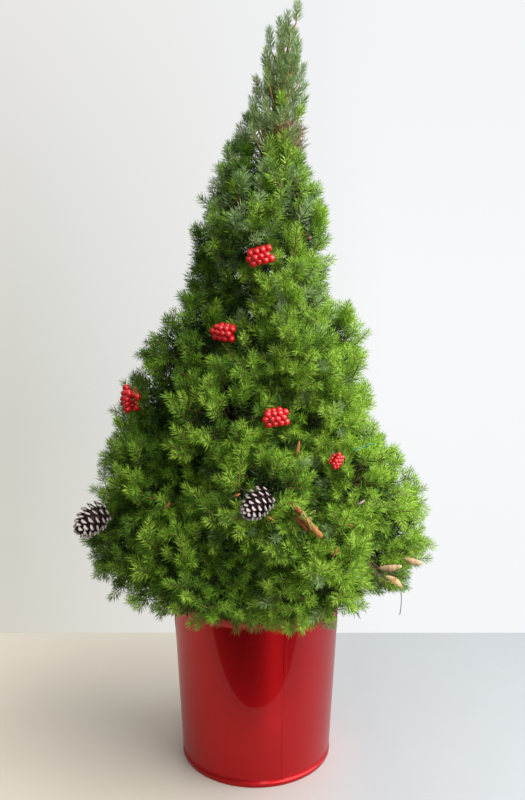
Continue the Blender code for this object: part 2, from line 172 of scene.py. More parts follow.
DROOP_SHOOTS = 18  # sparse twigs that droop from each stretch of the crown's lower sides
# Degrees round from +X, from and to, and how low
DROOP_SIDES = ((150, 196, 0.250), (196, 222, 0.268), (335, 372, 0.254), (318, 335, 0.274))
DROOP_RADIUS = (0.150, 0.216)
DROOP_BAND = 0.016
HEM_SHOOTS = 18  # shoots that hang over the rim from each of the lowest masses
DEAD_PATCH = Vector((0.040, -0.018, 0.820))
DEAD_REACH = 0.026
DEAD_SPRIGS = 16

# Tints, as material slots of the needles and of the twigs
DEEP, MIDDLE, FRESH, BRIGHT, MUTED, BLUSH, DRY = range(7)
NEEDLE_ROUGHNESS = {
    "deep": 0.62, "middle": 0.55, "fresh": 0.52, "bright": 0.50, "muted": 0.58, "blush": 0.60, "dry": 0.75,
}
OLD_TWIG, YOUNG_TWIG, ORANGE_TWIG = range(3)
TWIG_ROUGHNESS = {"old": 0.85, "young": 0.75, "orange": 0.75}
DARKER = {MIDDLE: DEEP, FRESH: MIDDLE, BRIGHT: FRESH}
FOOT_SHARE = 0.38
PAINTED_LIGHT_SIDE = Vector((0.93, -0.37, 0.0))  # the side that the key light falls on, whose shoots get brighter tints as painted light

# The crown's outline as seen from the front: height, and how far it reaches to the left and right
OUTLINE = (
    (0.226, 0.213, 0.192), (0.25, 0.225, 0.208), (0.272, 0.225, 0.212), (0.29, 0.234, 0.229),
    (0.314, 0.228, 0.239), (0.369, 0.217, 0.226), (0.423, 0.206, 0.192), (0.437, 0.202, 0.168),
    (0.489, 0.182, 0.155), (0.554, 0.152, 0.153), (0.586, 0.132, 0.142), (0.611, 0.104, 0.136),
    (0.62, 0.1, 0.115), (0.656, 0.092, 0.108), (0.685, 0.094, 0.094), (0.703, 0.09, 0.093),
    (0.721, 0.091, 0.094), (0.739, 0.073, 0.096), (0.757, 0.061, 0.083), (0.769, 0.057, 0.078),
    (0.798, 0.044, 0.062), (0.822, 0.022, 0.062), (0.856, 0.008, 0.066), (0.913, -0.009, 0.059),
    (0.97, -0.03, 0.056),
)
NEEDLE_MARGIN = 0.0050
RAGGED = 0.030  # how much the outline wanders
RAGGED_SIZE = 0.027
RISING = 0.016  # how far shoots at the top of a mass rise above it
LONGEST_PUSH = 0.020  # how far a spray may go past its mass to meet the outline

# How low the needles hang round the pot: degrees round from +X, and height over the rim
HEM = (
    (0, 0.24), (60, 0.238), (120, 0.238), (180, 0.238), (200, 0.24), (222, 0.245), (240, 0.248), (257, 0.244),
    (275, 0.24), (289, 0.237), (305, 0.242), (320, 0.248), (335, 0.248), (350, 0.242), (360, 0.24),
)
HEM_RADIUS = 0.135
HEM_RISE = 0.24  # how fast the crown's underside rises further out than that

# Tips of the upright shoots that stand out at the top of the crown
LEADERS = [Vector(tip) for tip in (
    (0.0497, 0.0, 0.964), (0.0287, -0.004, 0.9457), (0.0168, 0.002, 0.9349), (0.05, -0.006, 0.92),
    (0.0139, -0.008, 0.912), (0.0104, 0.006, 0.9051), (0.0485, -0.01, 0.9051), (0.057, 0.0, 0.8942),
    (0.0009, -0.006, 0.8797), (0.0587, 0.004, 0.8742), (-0.0006, 0.0, 0.8471), (-0.007, 0.0, 0.8391),
    (0.0554, -0.01, 0.8465), (0.038, 0.01, 0.954), (0.041, -0.012, 0.933), (0.0303, -0.022, 0.8606),
    (0.031, 0.02, 0.918), (0.029, 0.026, 0.88), (0.001, 0.006, 0.868), (0.0585, -0.004, 0.858),
    (-0.004, -0.008, 0.856), (0.044, 0.018, 0.87), (0.042, -0.02, 0.879), (0.013, -0.018, 0.887),
    (0.029, -0.016, 0.896), (0.0545, -0.01, 0.823), (-0.01, -0.012, 0.838), (-0.018, -0.006, 0.826),
    (-0.004, -0.022, 0.846), (0.006, -0.026, 0.838), (-0.012, 0.01, 0.836), (0.012, -0.03, 0.852),
    (0.02, -0.028, 0.836), (-0.022, 0.004, 0.816), (0.0, 0.022, 0.845), (0.03, -0.03, 0.842),
    (-0.005, -0.03, 0.824), (0.026, 0.026, 0.85), (0.05, 0.014, 0.844),
)]

# Dark hollows between the clumps: degrees round from +X, height, radius
HOLLOWS = (
    (248, 0.43, 0.034), (227, 0.464, 0.03), (236, 0.558, 0.026), (262, 0.639, 0.018), (253, 0.369, 0.028),
    (215, 0.39, 0.028), (296, 0.35, 0.024), (318, 0.52, 0.026), (275, 0.56, 0.02), (20, 0.43, 0.034),
    (337, 0.345, 0.022), (343, 0.292, 0.022), (262, 0.748, 0.014), (288, 0.706, 0.015), (240, 0.7, 0.015),
    (300, 0.655, 0.017), (222, 0.762, 0.013), (90, 0.72, 0.016), (20, 0.7, 0.016), (160, 0.69, 0.016),
    (95, 0.38, 0.034), (150, 0.47, 0.032), (110, 0.56, 0.028), (60, 0.6, 0.024),
)

# Trimmings: degrees round from +X, height, how proud, room, lean and nod, size or length, tint
Perch = namedtuple("Perch", "azimuth height proud room tilt nod size tint", defaults=(0,))
BERRIES = [Perch(*row) for row in (
    (268, 0.678, -0.008, 0.022, 0.25, 0.0, 1.0), (243, 0.588, -0.008, 0.022, -0.1, 0.0, 0.95),
    (197, 0.499, -0.004, 0.022, 1.25, 0.0, 1.05), (279, 0.499, -0.009, 0.022, 0.1, 0.0, 0.95),
    (306, 0.445, -0.01, 0.012, 0.9, 0.0, 0.6), (75, 0.44, -0.009, 0.022, 0.1, 0.0, 1.0),
    (128, 0.61, -0.009, 0.022, -0.2, 0.0, 1.0), (60, 0.69, -0.009, 0.022, 0.2, 0.0, 1.0),
)]
CONES = [Perch(*row) for row in (
    (207.5, 0.365, 0.001, 0.04, 0.7, -0.99, 1.08), (271, 0.416, -0.027, 0.031, -0.9, -0.55, 0.93),
    (60, 0.352, -0.014, 0.026, 0.7, -0.6, 1.0),
)]
STICKS = [Perch(*row) for row in (
    (287.7, 0.391, -0.018, 0.026, -0.87, 0.0, 1.0), (140, 0.42, -0.01, 0.022, 0.8, 0.0, 1.0),
)]
SLIVERS = [Perch(*row) for row in (
    (289, 0.464, -0.008, 0.008, 1.3, 0.2, 0.017, 0), (264, 0.425, -0.02, 0.011, 0.4, 0.3, 0.009, 1),
    (275, 0.4, -0.02, 0.01, -0.6, 0.0, 0.009, 0), (311, 0.399, -0.012, 0.009, 0.2, 0.2, 0.013, 2),
    (296, 0.355, -0.015, 0.009, 1.0, 0.0, 0.012, 1), (305, 0.377, -0.013, 0.008, -0.5, 0.1, 0.013, 1),
    (236, 0.397, -0.009, 0.008, 0.9, 0.2, 0.015, 0), (331, 0.298, -0.001, 0.011, 0.25, 0.1, 0.03, 3),
    (328, 0.281, -0.001, 0.01, -0.55, 0.1, 0.024, 3), (95, 0.52, -0.008, 0.007, 0.5, 0.2, 0.012, 0),
    (160, 0.33, -0.006, 0.007, -0.7, 0.2, 0.01, 2), (50, 0.44, -0.009, 0.007, 0.9, 0.2, 0.011, 1),
    (337, 0.303, 0.003, 0.01, -0.25, 0.2, 0.024, 3), (327, 0.288, 0.003, 0.01, -0.75, 0.2, 0.026, 3),
    (322, 0.298, -0.001, 0.008, 0.2, 0.1, 0.014, 0),
)]
WIRES = [Perch(*row) for row in (
    (315, 0.461, 0.004, 0.005, 0.1, 0.0, 0.034, 1), (336, 0.258, 0.004, 0.01, -1.5, 0.0, 0.056, 0),
)]
TAN = 3  # the tint of the wider slivers, which lie turned on their side
BERRY_TINT, STALK_TINT = range(2)
BARK_TINT, RAFFIA_TINT, WIRE_TINT, DARK_TINT = range(4)
CONE_SCALES = 58
QUILL_TURNS = 14
QUILL_STEPS = 9
POT_STEPS = 144
WALL_STEPS = 24
SOIL_STEPS = 72
SOIL_RINGS = 26
BARK_SPACING = 0.007
TRUNK_SIDES = 18
BOUGH_SIDES = 9
BOUGH_RINGS = 15
SOIL_SEED, BERRY_SEED, CONE_SEED, STICK_SEED = (SEED + more for more in (500, 600, 700, 800))
SENSOR_WIDTH = 36.0

# Colours of the wall, which paint its light and shade, darker and warmer at the left and brighter at the right,
# and of the room's light, by height or from left to right
WALL_LEFT = ((0.0, (0.665, 0.635, 0.560)), (0.35, (0.630, 0.630, 0.578)), (1.0, (0.800, 0.790, 0.765)))
WALL_RIGHT = ((0.0, (0.910, 0.925, 0.948)), (0.5, (0.935, 0.950, 0.960)), (1.0, (0.896, 0.914, 0.930)))
ROOM_GLOW = ((0.15, (0.24, 0.222, 0.195)), (0.85, (0.95, 0.975, 1.0)))
ROOM_FLOOR = (0.10, 0.09, 0.09, 1.0)
TABLE_SIZE = (2.6, 0.03)

colour_property = partial(FloatVectorProperty, size=3, subtype="COLOR")
length_property = partial(FloatProperty, unit="LENGTH")
power_property = partial(FloatProperty, unit="POWER")


class CrownSettings(PropertyGroup):
    """Sizes and colours of the shoots, needles and twigs"""

    needle_length: length_property(
        name="Needle length", description="Length of a full-grown needle", default=0.0124
    )
    needle_width: length_property(
        name="Needle width", description="Width of a needle at its middle", default=0.00092
    )
    needle_fold: FloatProperty(
        name="Needle fold", description="How far a needle's edges fold back, as a share of its half width",
        default=0.6,
    )
    needles_per_metre: IntProperty(
        name="Needles per metre", description="How many needles a metre of shoot carries", default=3000
    )
    deep: colour_property(
        name="Deep green", description="Old needles inside the crown", default=(0.026, 0.068, 0.006)
    )
    middle: colour_property(
        name="Middle green", description="Most of the needles", default=(0.108, 0.24, 0.015)
    )
    fresh: colour_property(
        name="Fresh green", description="Needles of this year's shoots", default=(0.226, 0.418, 0.028)
    )
    bright: colour_property(
        name="Bright green", description="Needles at the tips of the fullest sprays",
        default=(0.35, 0.575, 0.056),
    )
    muted: colour_property(
        name="Muted green", description="Greyer needles at the top of the crown", default=(0.29, 0.44, 0.16)
    )
    blush: colour_property(
        name="Blush", description="Dry pinkish needles where shoots hang over the pot",
        default=(0.42, 0.3, 0.14),
    )
    dry: colour_property(
        name="Dry", description="Dead needles in the small bare patch near the top", default=(0.3, 0.19, 0.12)
    )
    old_twig: colour_property(
        name="Old twig", description="Bark of the older twigs", default=(0.125, 0.078, 0.042)
    )
    young_twig: colour_property(
        name="Young twig", description="Green brown bark of the young shoots", default=(0.26, 0.19, 0.06)
    )
    orange_twig: colour_property(
        name="Orange twig", description="Bare bark at the top of the crown", default=(0.47, 0.25, 0.11)
    )


class PotSettings(PropertyGroup):
    """Sizes and colours of the tin pot and the soil in it"""

    lacquer: colour_property(
        name="Lacquer", description="Red of the lacquered tin", default=(0.5, 0.004, 0.007)
    )
    lacquer_shade: colour_property(
        name="Lacquer shade", description="Deeper red that mottles the lacquer", default=(0.45, 0.004, 0.007)
    )
    dent: length_property(name="Dent", description="How far the sheet strays from round", default=0.00035)
    recess: length_property(
        name="Base recess", description="How far the base sits up inside the foot", default=0.003
    )
    hoop: length_property(name="Hoop", description="Height of the hoop at the foot", default=0.005)
    seam_sunk: length_property(
        name="Seam sunk", description="How far the folded seam sinks into the wall", default=0.0006
    )
    crumb: length_property(name="Soil crumb", description="Size of the larger crumbs of soil", default=0.0032)
    soil: colour_property(name="Soil", description="Dark moist potting mix", default=(0.026, 0.016, 0.01))


class TrimSettings(PropertyGroup):
    """Sizes and colours of the berries, cones and cinnamon sticks"""

    berry_radius: length_property(name="Berry radius", description="Radius of one berry", default=0.0046)
    berry_rows: IntProperty(name="Berry rows", description="Rows of berries in a cluster", default=3)
    berry_columns: IntProperty(name="Berry columns", description="Berries in each row", default=4)
    cone_length: length_property(name="Cone length", description="Length of a pine cone", default=0.0316)
    cone_radius: length_property(
        name="Cone radius", description="Radius of a pine cone at its widest", default=0.0194
    )
    scale_width: length_property(
        name="Scale width", description="Half the width of a cone's scale", default=0.0051
    )
    stick_length: length_property(
        name="Stick length", description="Length of a cinnamon stick", default=0.046
    )
    stick_radius: length_property(
        name="Stick radius", description="Radius of a cinnamon stick", default=0.004
    )
    berry: colour_property(name="Berry", description="Glossy red of the berries", default=(0.8, 0.008, 0.014))
    cone: colour_property(
        name="Cone", description="Dark brown of the cone's scales", default=(0.04, 0.018, 0.016)
    )
    frost: colour_property(
        name="Frost", description="White paint on the tips of the scales", default=(0.66, 0.56, 0.54)
    )
    cinnamon: colour_property(
        name="Cinnamon", description="Orange brown of the rolled bark", default=(0.54, 0.225, 0.058)
    )
    cinnamon_dark: colour_property(
        name="Dark cinnamon", description="Redder bark of the broken quills", default=(0.36, 0.095, 0.028)
    )
    sliver_orange: colour_property(
        name="Orange sliver", description="Orange slivers of bark", default=(0.4, 0.125, 0.035)
    )
    sliver_mauve: colour_property(
        name="Mauve sliver", description="Pale mauve slivers of bark", default=(0.34, 0.25, 0.24)
    )
    sliver_tan: colour_property(
        name="Tan sliver", description="Pale tan slivers of bark", default=(0.55, 0.36, 0.19)
    )
    raffia: colour_property(name="Raffia", description="Yellow green of the ties", default=(0.36, 0.36, 0.08))


class StageSettings(PropertyGroup):
    """Camera, table and light"""

    camera_place: FloatVectorProperty(
        name="Camera place", description="Where the camera stands",
        default=(0.0086, -1.2422, 0.7764), size=3, subtype="TRANSLATION",
    )
    camera_pitch: FloatProperty(
        name="Camera pitch", description="How far the camera looks down",
        default=math.radians(13.02), subtype="ANGLE",
    )
    lens: FloatProperty(name="Lens", description="Focal length in millimetres", default=45.0, unit="CAMERA")
    table_back: length_property(name="Table back", description="How far back the table goes", default=0.344)
    table_front: length_property(
        name="Table front", description="How far the table comes forward", default=0.272
    )
    # Table colours paint light and shade: painted light at the left, painted shade just left of the pot, and a
    # darker right as painted shade against the key light
    table_left: colour_property(
        name="Table left", description="Colour of the table at its left", default=(0.74, 0.68, 0.57)
    )
    table_shade: colour_property(
        name="Table shade", description="Colour of the table just left of the pot", default=(0.64, 0.59, 0.5)
    )
    table_right: colour_property(
        name="Table right", description="Colour of the table at its right", default=(0.41, 0.436, 0.458)
    )
    key_power: power_property(
        name="Key light", description="Watts of the large light at the right", default=134.0
    )
    front_power: power_property(
        name="Front light", description="Watts of the light at the front", default=6.0
    )
    low_power: power_property(
        name="Low light", description="Watts of the narrow light on the pot", default=4.8
    )
    room_light: FloatProperty(name="Room light", description="Strength of the room's light", default=0.75)


# Helpers for meshes


def settle(thing, replaces=()):
    """Lets a finished piece ride with the part, and hides the pieces of the part that it stands for."""
    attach(thing, ROOT)
    if replaces:
        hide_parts(*replaces)


def add_piece(name, mesh, materials):
    for material in materials:
        mesh.materials.append(material)
    thing = bpy.data.objects.new(name, mesh)
    bpy.context.scene.collection.objects.link(thing)
    return thing


def piece_from_bmesh(name, bm, materials, smooth=True):
    mesh = bpy.data.meshes.new(name)
    bm.to_mesh(mesh)
    bm.free()
    if smooth:
        mesh.shade_smooth()
    return add_piece(name, mesh, materials)


def mesh_from_arrays(name, corners, faces, slots):
    """A mesh of triangles or quads from arrays of corners, of faces and of material slots."""
    mesh = bpy.data.meshes.new(name)
    mesh.vertices.add(len(corners))
    mesh.vertices.foreach_set("co", np.ascontiguousarray(corners, np.float32).ravel())
    mesh.loops.add(faces.size)
    mesh.loops.foreach_set("vertex_index", np.ascontiguousarray(faces, np.int32).ravel())
    mesh.polygons.add(len(faces))
    mesh.polygons.foreach_set("loop_start", np.arange(0, faces.size, faces.shape[1], dtype=np.int32))
    mesh.polygons.foreach_set("material_index", np.ascontiguousarray(slots, np.int32))
    mesh.update(calc_edges=True)
    return mesh


def join(bm, other):
    """Adds another bmesh to the first, and frees it."""
    spare = bpy.data.meshes.new("spare")
    other.to_mesh(spare)
    other.free()
    bm.from_mesh(spare)
    bpy.data.meshes.remove(spare)


def only(items, kind):
    return [item for item in items if isinstance(item, kind)]


def rotate(bm, verts, angle, axis):
    bmesh.ops.rotate(bm, cent=(0, 0, 0), matrix=Matrix.Rotation(angle, 3, axis), verts=verts)


def fill_slot(verts, slot):
    """Gives the faces round some verts a material slot."""
    for face in {face for vert in verts for face in vert.link_faces}:
        face.material_index = slot


def soften(bm, edges, offset):
    bmesh.ops.bevel(
        bm, geom=edges, offset=offset, offset_type="OFFSET", segments=3, profile=0.5, affect="EDGES",
        material=-1,
    )


def spun(bm, profile, steps):
    """Turns a profile of (radius, height) points round Z into a closed skin."""
    verts = [bm.verts.new((radius, 0.0, height)) for radius, height in profile]
    edges = [bm.edges.new(pair) for pair in zip(verts, verts[1:])]
    bmesh.ops.spin(
        bm, geom=verts + edges, cent=(0, 0, 0), axis=(0, 0, 1), angle=math.tau, steps=steps,
        use_merge=True, use_duplicate=False,
    )
    bmesh.ops.remove_doubles(bm, verts=bm.verts, dist=1e-6)
    bmesh.ops.recalc_face_normals(bm, faces=bm.faces)


def skin_along(bm, points, radii, sides, relief=None, slot=0):
    """A closed round skin along a line of points. Relief gives each corner's share of the radius."""
    ring = bmesh.ops.create_circle(bm, segments=sides, radius=1.0)["verts"]
    # Kept in order, so that the caps are the same at each run
    edges = first_edges = list(dict.fromkeys(edge for vert in ring for edge in vert.link_edges))
    faces = []
    for at, (point, radius) in enumerate(zip(points, radii)):
        if at:
            grown = bmesh.ops.extrude_edge_only(bm, edges=edges)["geom"]
            edges = [edge for edge in only(grown, BMEdge) if edge.is_boundary]
            faces += only(grown, BMFace)
            verts = dict.fromkeys(vert for edge in edges for vert in edge.verts)
            above = {edge.other_vert(vert): vert for vert in verts for edge in vert.link_edges
                     if edge.other_vert(vert) not in verts}
            ring = [above[vert] for vert in ring]
        ahead = points[min(at + 1, len(points) - 1)] - points[max(at - 1, 0)]
        facing = ahead.to_track_quat("Z", "Y")
        for corner, vert in enumerate(ring):
            angle = math.tau * corner / sides
            share = relief(angle, point) if relief else 1.0
            vert.co = point + facing @ way_round(angle) * radius * share
    for ends in (first_edges, edges):
        faces += bmesh.ops.edgeloop_fill(bm, edges=ends)["faces"]
    for face in faces:
        face.material_index = slot
    bmesh.ops.recalc_face_normals(bm, faces=faces)


def bezier(start, middle, end, count):
    """Points of a curve that leaves start towards middle and comes into end from it."""
    shares = [step / (count - 1) for step in range(count)]
    return [start.lerp(middle, share).lerp(middle.lerp(end, share), share) for share in shares]


def way_round(angle):
    return Vector((math.cos(angle), math.sin(angle), 0.0))


def up(height):
    return Vector((0.0, 0.0, height))


# Helpers for materials


def feed(tree, socket, value):
    """Links a socket to the one that feeds it, or sets its value."""
    if isinstance(value, bpy.types.NodeSocket):
        tree.links.new(value, socket)
    else:
        socket.default_value = value


def add_node(tree, kind, **values):
    """The outputs of a new shader node, whose inputs are fed by name."""
    node = tree.nodes.new("ShaderNode" + kind)
    for name, value in values.items():
        feed(tree, node.inputs[name.replace("_", " ").title()], value)
    return node.outputs


def math_node(tree, operation, *values):
    node = tree.nodes.new("ShaderNodeMath")
    node.operation = operation
    for socket, value in zip(node.inputs, values):
        feed(tree, socket, value)
    return node.outputs["Value"]


def span_node(tree, value, low, high, new_low=0.0, new_high=1.0):
    """Carries one span of values over to another."""
    spans = {"from_min": low, "from_max": high, "to_min": new_low, "to_max": new_high}
    return add_node(tree, "MapRange", value=value, **spans)["Result"]


def mix_node(tree, share, first, second, blend="MIX"):
    node = tree.nodes.new("ShaderNodeMix")
    node.data_type, node.blend_type = "RGBA", blend
    for name, value in (("Factor", share), ("A", first), ("B", second)):
        feed(tree, node.inputs[name], value)
    return node.outputs["Result"]


def ramp_node(tree, share, stops):
    """The colour at a share of a ramp of (place, colour) stops."""
    node = tree.nodes.new("ShaderNodeValToRGB")
    feed(tree, node.inputs["Fac"], share)
    elements = node.color_ramp.elements
    while len(elements) < len(stops):
        elements.new(0.5)
    for element, (position, tint) in zip(elements, stops):
        element.position = position
        element.color = (*tint, 1.0)
    return node.outputs["Color"]


def new_material(name, roughness=0.6, metallic=0.0, coat=0.0, coat_roughness=0.05, specular=0.5):
    material = bpy.data.materials.new(name)
    material.use_nodes = True
    shader = material.node_tree.nodes["Principled BSDF"].inputs
    shader["Roughness"].default_value = roughness
    shader["Metallic"].default_value = metallic
    shader["Coat Weight"].default_value = coat
    shader["Coat Roughness"].default_value = coat_roughness
    shader["Specular IOR Level"].default_value = specular
    return material


def plain_material(name, tint, roughness):
    material = new_material(name, roughness, specular=0.3)
    material.node_tree.nodes["Principled BSDF"].inputs["Base Color"].default_value = (*tint, 1.0)
    return material


def shades(tint, *shares):
    """Darker and lighter shades of a colour."""
    return [tuple(value * share for value in tint) for share in shares]


def mottle(tree, vector, scale):
    """Blotches, coarse and fine together."""
    coarse = add_node(tree, "TexNoise", vector=vector, scale=scale, detail=5.0, roughness=0.62)["Fac"]
    finer = math_node(tree, "MULTIPLY", scale, 5.3)
    fine = add_node(tree, "TexNoise", vector=vector, scale=finer, detail=3.0, roughness=0.7)["Fac"]
    return span_node(tree, math_node(tree, "MULTIPLY_ADD", fine, 0.45, coarse), 0.50, 0.92)


def streaks(tree, vector, scale):
    """Fibres that run along Z."""
    squeezed = add_node(tree, "Mapping", vector=vector, scale=(1.0, 1.0, 0.09))["Vector"]
    grain = add_node(
        tree, "TexNoise", vector=squeezed, scale=scale, detail=6.0, roughness=0.68, distortion=0.4
    )["Fac"]
    return span_node(tree, grain, 0.32, 0.70)


def effect_group(effect):
    """A shader node group that lays an effect between two colours, built once."""
    name = effect.__name__
    if name in bpy.data.node_groups:
        return bpy.data.node_groups[name]
    group = bpy.data.node_groups.new(name, "ShaderNodeTree")
    for label, kind in (("Vector", "Vector"), ("Scale", "Float"), ("First", "Color"), ("Second", "Color")):
        group.interface.new_socket(label, in_out="INPUT", socket_type="NodeSocket" + kind)
    for label, kind in (("Color", "Color"), ("Mask", "Float")):
        group.interface.new_socket(label, in_out="OUTPUT", socket_type="NodeSocket" + kind)
    start = group.nodes.new("NodeGroupInput").outputs
    end = group.nodes.new("NodeGroupOutput").inputs
    mask = effect(group, start["Vector"], start["Scale"])
    feed(group, end["Color"], mix_node(group, mask, start["First"], start["Second"]))
    feed(group, end["Mask"], mask)
    return group


def textured(name, roughness, effect, scale, tints, bump, rough, **gloss):
    """A material with an effect between two tints, for its bump too and its span of roughness."""
    material = new_material(name, roughness, **gloss)
    tree = material.node_tree
    shader = tree.nodes["Principled BSDF"].inputs
    node = tree.nodes.new("ShaderNodeGroup")
    node.node_tree = effect_group(effect)
    feed(tree, node.inputs["Vector"], add_node(tree, "TexCoord")["Object"])
    node.inputs["Scale"].default_value = scale
    for label, tint in zip(("First", "Second"), tints):
        node.inputs[label].default_value = (*tint, 1.0)
    feed(tree, shader["Base Color"], node.outputs["Color"])
    feed(tree, shader["Roughness"], span_node(tree, node.outputs["Mask"], 0.0, 1.0, *rough))
    if bump:
        relief = add_node(tree, "Bump", strength=0.8, distance=bump, height=node.outputs["Mask"])
        feed(tree, shader["Normal"], relief["Normal"])
    return material


def bark_material(name, tint, scale, bump):
    return textured(name, 0.85, streaks, scale, shades(tint, 0.45, 1.5), bump, (0.7, 0.95))


# The rule of growth, as in the part's source


def pot_radius(height):
    """Outer radius of the pot's wall at a height."""
    return FOOT_RADIUS + POT_FLARE * height


def trunk_share(height):
    return min(max((height - TRUNK_FOOT) / (TRUNK_TOP - TRUNK_FOOT), 0.0), 1.0)


def trunk_point(height):
    """The middle of the trunk at a height."""
    share = trunk_share(height)
    return Vector((TRUNK_LEAN * share**LEAN_POWER, TRUNK_SWAY * (1 - math.cos(share * math.tau)), height))


def trunk_radius(height):
    flare = ROOT_FLARE * math.exp(-(height - TRUNK_FOOT) / ROOT_FLARE_HEIGHT)
    return TRUNK_FOOT_RADIUS + (TRUNK_TIP_RADIUS - TRUNK_FOOT_RADIUS) * trunk_share(height) + flare


def trunk_limb(spacing):
    """The trunk's middle line and radii, from the soil to its top."""
    rings = round((TRUNK_TOP - TRUNK_FOOT) / spacing)
    heights = [TRUNK_FOOT + (TRUNK_TOP - TRUNK_FOOT) * ring / rings for ring in range(rings + 1)]
    return Limb([trunk_point(height) for height in heights], [trunk_radius(height) for height in heights])


def bough_limb(mass, points=BOUGH_POINTS):
    """A bough from the trunk's middle up to the near side of its mass, bowed downwards."""
    leaves_trunk = trunk_point(mass.centre.z - mass.centre.xy.length * BOUGH_DROP)
    way = (mass.centre - leaves_trunk).normalized()
    run = mass.centre - way * mass.size * BOUGH_END - leaves_trunk
    limb = Limb([], [])
    for step in range(points):
        share = step / (points - 1)
        bow = BOUGH_BOW * run.length * math.sin(math.pi * share)
        limb.points.append(leaves_trunk + run * share - up(bow))
        limb.radii.append(BOUGH_ROOT_RADIUS + (BOUGH_TIP_RADIUS - BOUGH_ROOT_RADIUS) * share)
    return limb


def stem_limb(mass, bough):
    """The stem of a mass, from its bough's tip or the trunk to its middle, or on to its top."""
    foot_radius = BOUGH_TIP_RADIUS
    if bough:
        start = bough.points[-1] + (bough.points[-1] - bough.points[-2]).normalized() * CLEARANCE
    elif mass.tier is TIP:
        start = trunk_point(TRUNK_TOP) + up(CLEARANCE)
        foot_radius = TRUNK_TIP_RADIUS
    else:
        run = (mass.centre - trunk_point(mass.centre.z)).length
        start = trunk_point(mass.centre.z - run * STEM_DROP)
    if mass.tier.dense:
        return Limb([start, mass.centre], [foot_radius, TWIG_RADIUS])
    top = mass.centre + up(mass.size * mass.tier.rise * STEM_REACH)
    return Limb([start, mass.centre, top], [foot_radius, TWIG_RADIUS, STEM_END_RADIUS])


def side_reach(trunk, sideways, left, right):
    """The crown's reach from the trunk, between that to the left and that to the right."""
    rightness = (1 + sideways) / 2
    return (right - trunk.x) * rightness + (left + trunk.x) * (1 - rightness)


def plan_masses():
    dice = random.Random(SEED)
    masses = []
    for tier in TIERS:
        for lobe in range(tier.lobes):
            outward = way_round(math.radians(tier.turn + 360.0 * lobe / tier.lobes))
            size = tier.size * (1 + dice.uniform(-SIZE_CHANCE, SIZE_CHANCE))
            trunk = trunk_point(tier.height + dice.uniform(-HEIGHT_CHANCE, HEIGHT_CHANCE))
            centre = trunk + outward * (side_reach(trunk, outward.x, tier.left, tier.right) - size)
            masses.append(Mass(f"needles_{tier.name}_{lobe + 1}", tier, centre, outward, size, len(masses)))
    over_trunk = trunk_point(TRUNK_TOP)
    centre = Vector((over_trunk.x + TIP_LEAN, over_trunk.y, TIP.height))
    masses.append(Mass("needles_tip", TIP, centre, Vector(), TIP.size, len(masses)))
    return masses


def cell_walls(mass, masses, bough):
    """Flat walls round a mass's space, each as an outward direction and how far off it is."""
    walls = []
    for other in masses:
        if other is not mass:
            away = other.centre - mass.centre
            halfway = (away.length**2 + mass.size**2 - other.size**2) / (2 * away.length)
            walls.append((away / away.length, halfway - CELL_GAP / 2))
    walls.append((up(-1), mass.centre.z - CROWN_UNDERSIDE))
    if bough:
        back = bough.points[-1] - mass.centre
        walls.append((back.normalized(), back.length - CELL_GAP))
    if mass.tier is TIP:
        walls.append((up(-1), mass.centre.z - TRUNK_TOP - TRUNK_ROOM))
    else:
        inwards = trunk_point(mass.centre.z) - mass.centre
        walls.append((inwards.normalized(), inwards.length - trunk_radius(mass.centre.z) - TRUNK_ROOM))
    return walls


def lobe_reach(mass, direction):
    """How far a mass's own rounded form goes from its centre in a direction."""
    flat = (direction.x**2 + direction.y**2) / mass.size**2
    return 1 / math.sqrt(flat + direction.z**2 / (mass.size * mass.tier.rise) ** 2)


def wall_reach(walls, direction):
    """How far off the nearest wall of a mass's space is in a direction."""
    facing = [(outward.dot(direction), offset) for outward, offset in walls]
    return min((offset / along for along, offset in facing if along > 1e-6), default=1.0)


def growth_directions(mass, count, dice):
    """Directions spread evenly over a sphere, the first of them the way that a mass's shoots grow."""
    facing = (mass.outward + up(mass.tier.lift)).to_track_quat("Z", "Y")
    turn = dice.uniform(0, math.tau)
    for at in range(count):
        level = 1 - 2 * at / count
        ring = math.sqrt(1 - level * level)
        angle = turn + GOLDEN_ANGLE * at
        yield facing @ Vector((ring * math.cos(angle), ring * math.sin(angle), level))


# Places on the crown's surface


def crown_surface(azimuth, height, masses):
    """The outermost point of the crown on a level line out of the trunk, and the way out."""
    outward = way_round(math.radians(azimuth))
    start = trunk_point(height)
    furthest = 0.0
    for mass in masses:
        gap = (start - mass.centre) * Vector((1, 1, 1 / mass.tier.rise))
        along = -gap.dot(outward)
        chord = along**2 - gap.length_squared + mass.size**2
        if chord > 0:
            furthest = max(furthest, along + math.sqrt(chord))
    return start + outward * furthest, outward


def perch_place(perch, masses):
    """Middle and way out of a trimming that is perched on the crown."""
    point, outward = crown_surface(perch.azimuth, perch.height, masses)
    return point + outward * perch.proud, outward


def seat(bm, perch, masses, size=1.0):
    """Moves a trimming from its own frame, with X right, Y up and Z out of the crown, to its perch."""
    middle, outward = perch_place(perch, masses)
    turned = Matrix((up(1).cross(outward).normalized(), up(1), outward)).transposed().to_4x4()
    lean = Matrix.Rotation(perch.tilt, 4, "Z") @ Matrix.Rotation(perch.nod, 4, "X")
    bmesh.ops.scale(bm, vec=(size, size, size), verts=bm.verts)
    bmesh.ops.transform(bm, matrix=Matrix.Translation(middle) @ turned @ lean, verts=bm.verts)


def trim_rooms(masses):
    """Middle and radius of the room kept free of needles before each trimming, turned to the front."""
    rooms = []
    for perch in BERRIES + CONES + STICKS + SLIVERS + WIRES:
        middle, outward = perch_place(perch, masses)
        way = (outward + Vector((0, min(outward.y, 0.0), 0))).normalized()
        rooms.append((middle + way * 0.65 * perch.room, perch.room))
    return rooms


# Growth of the visual crown


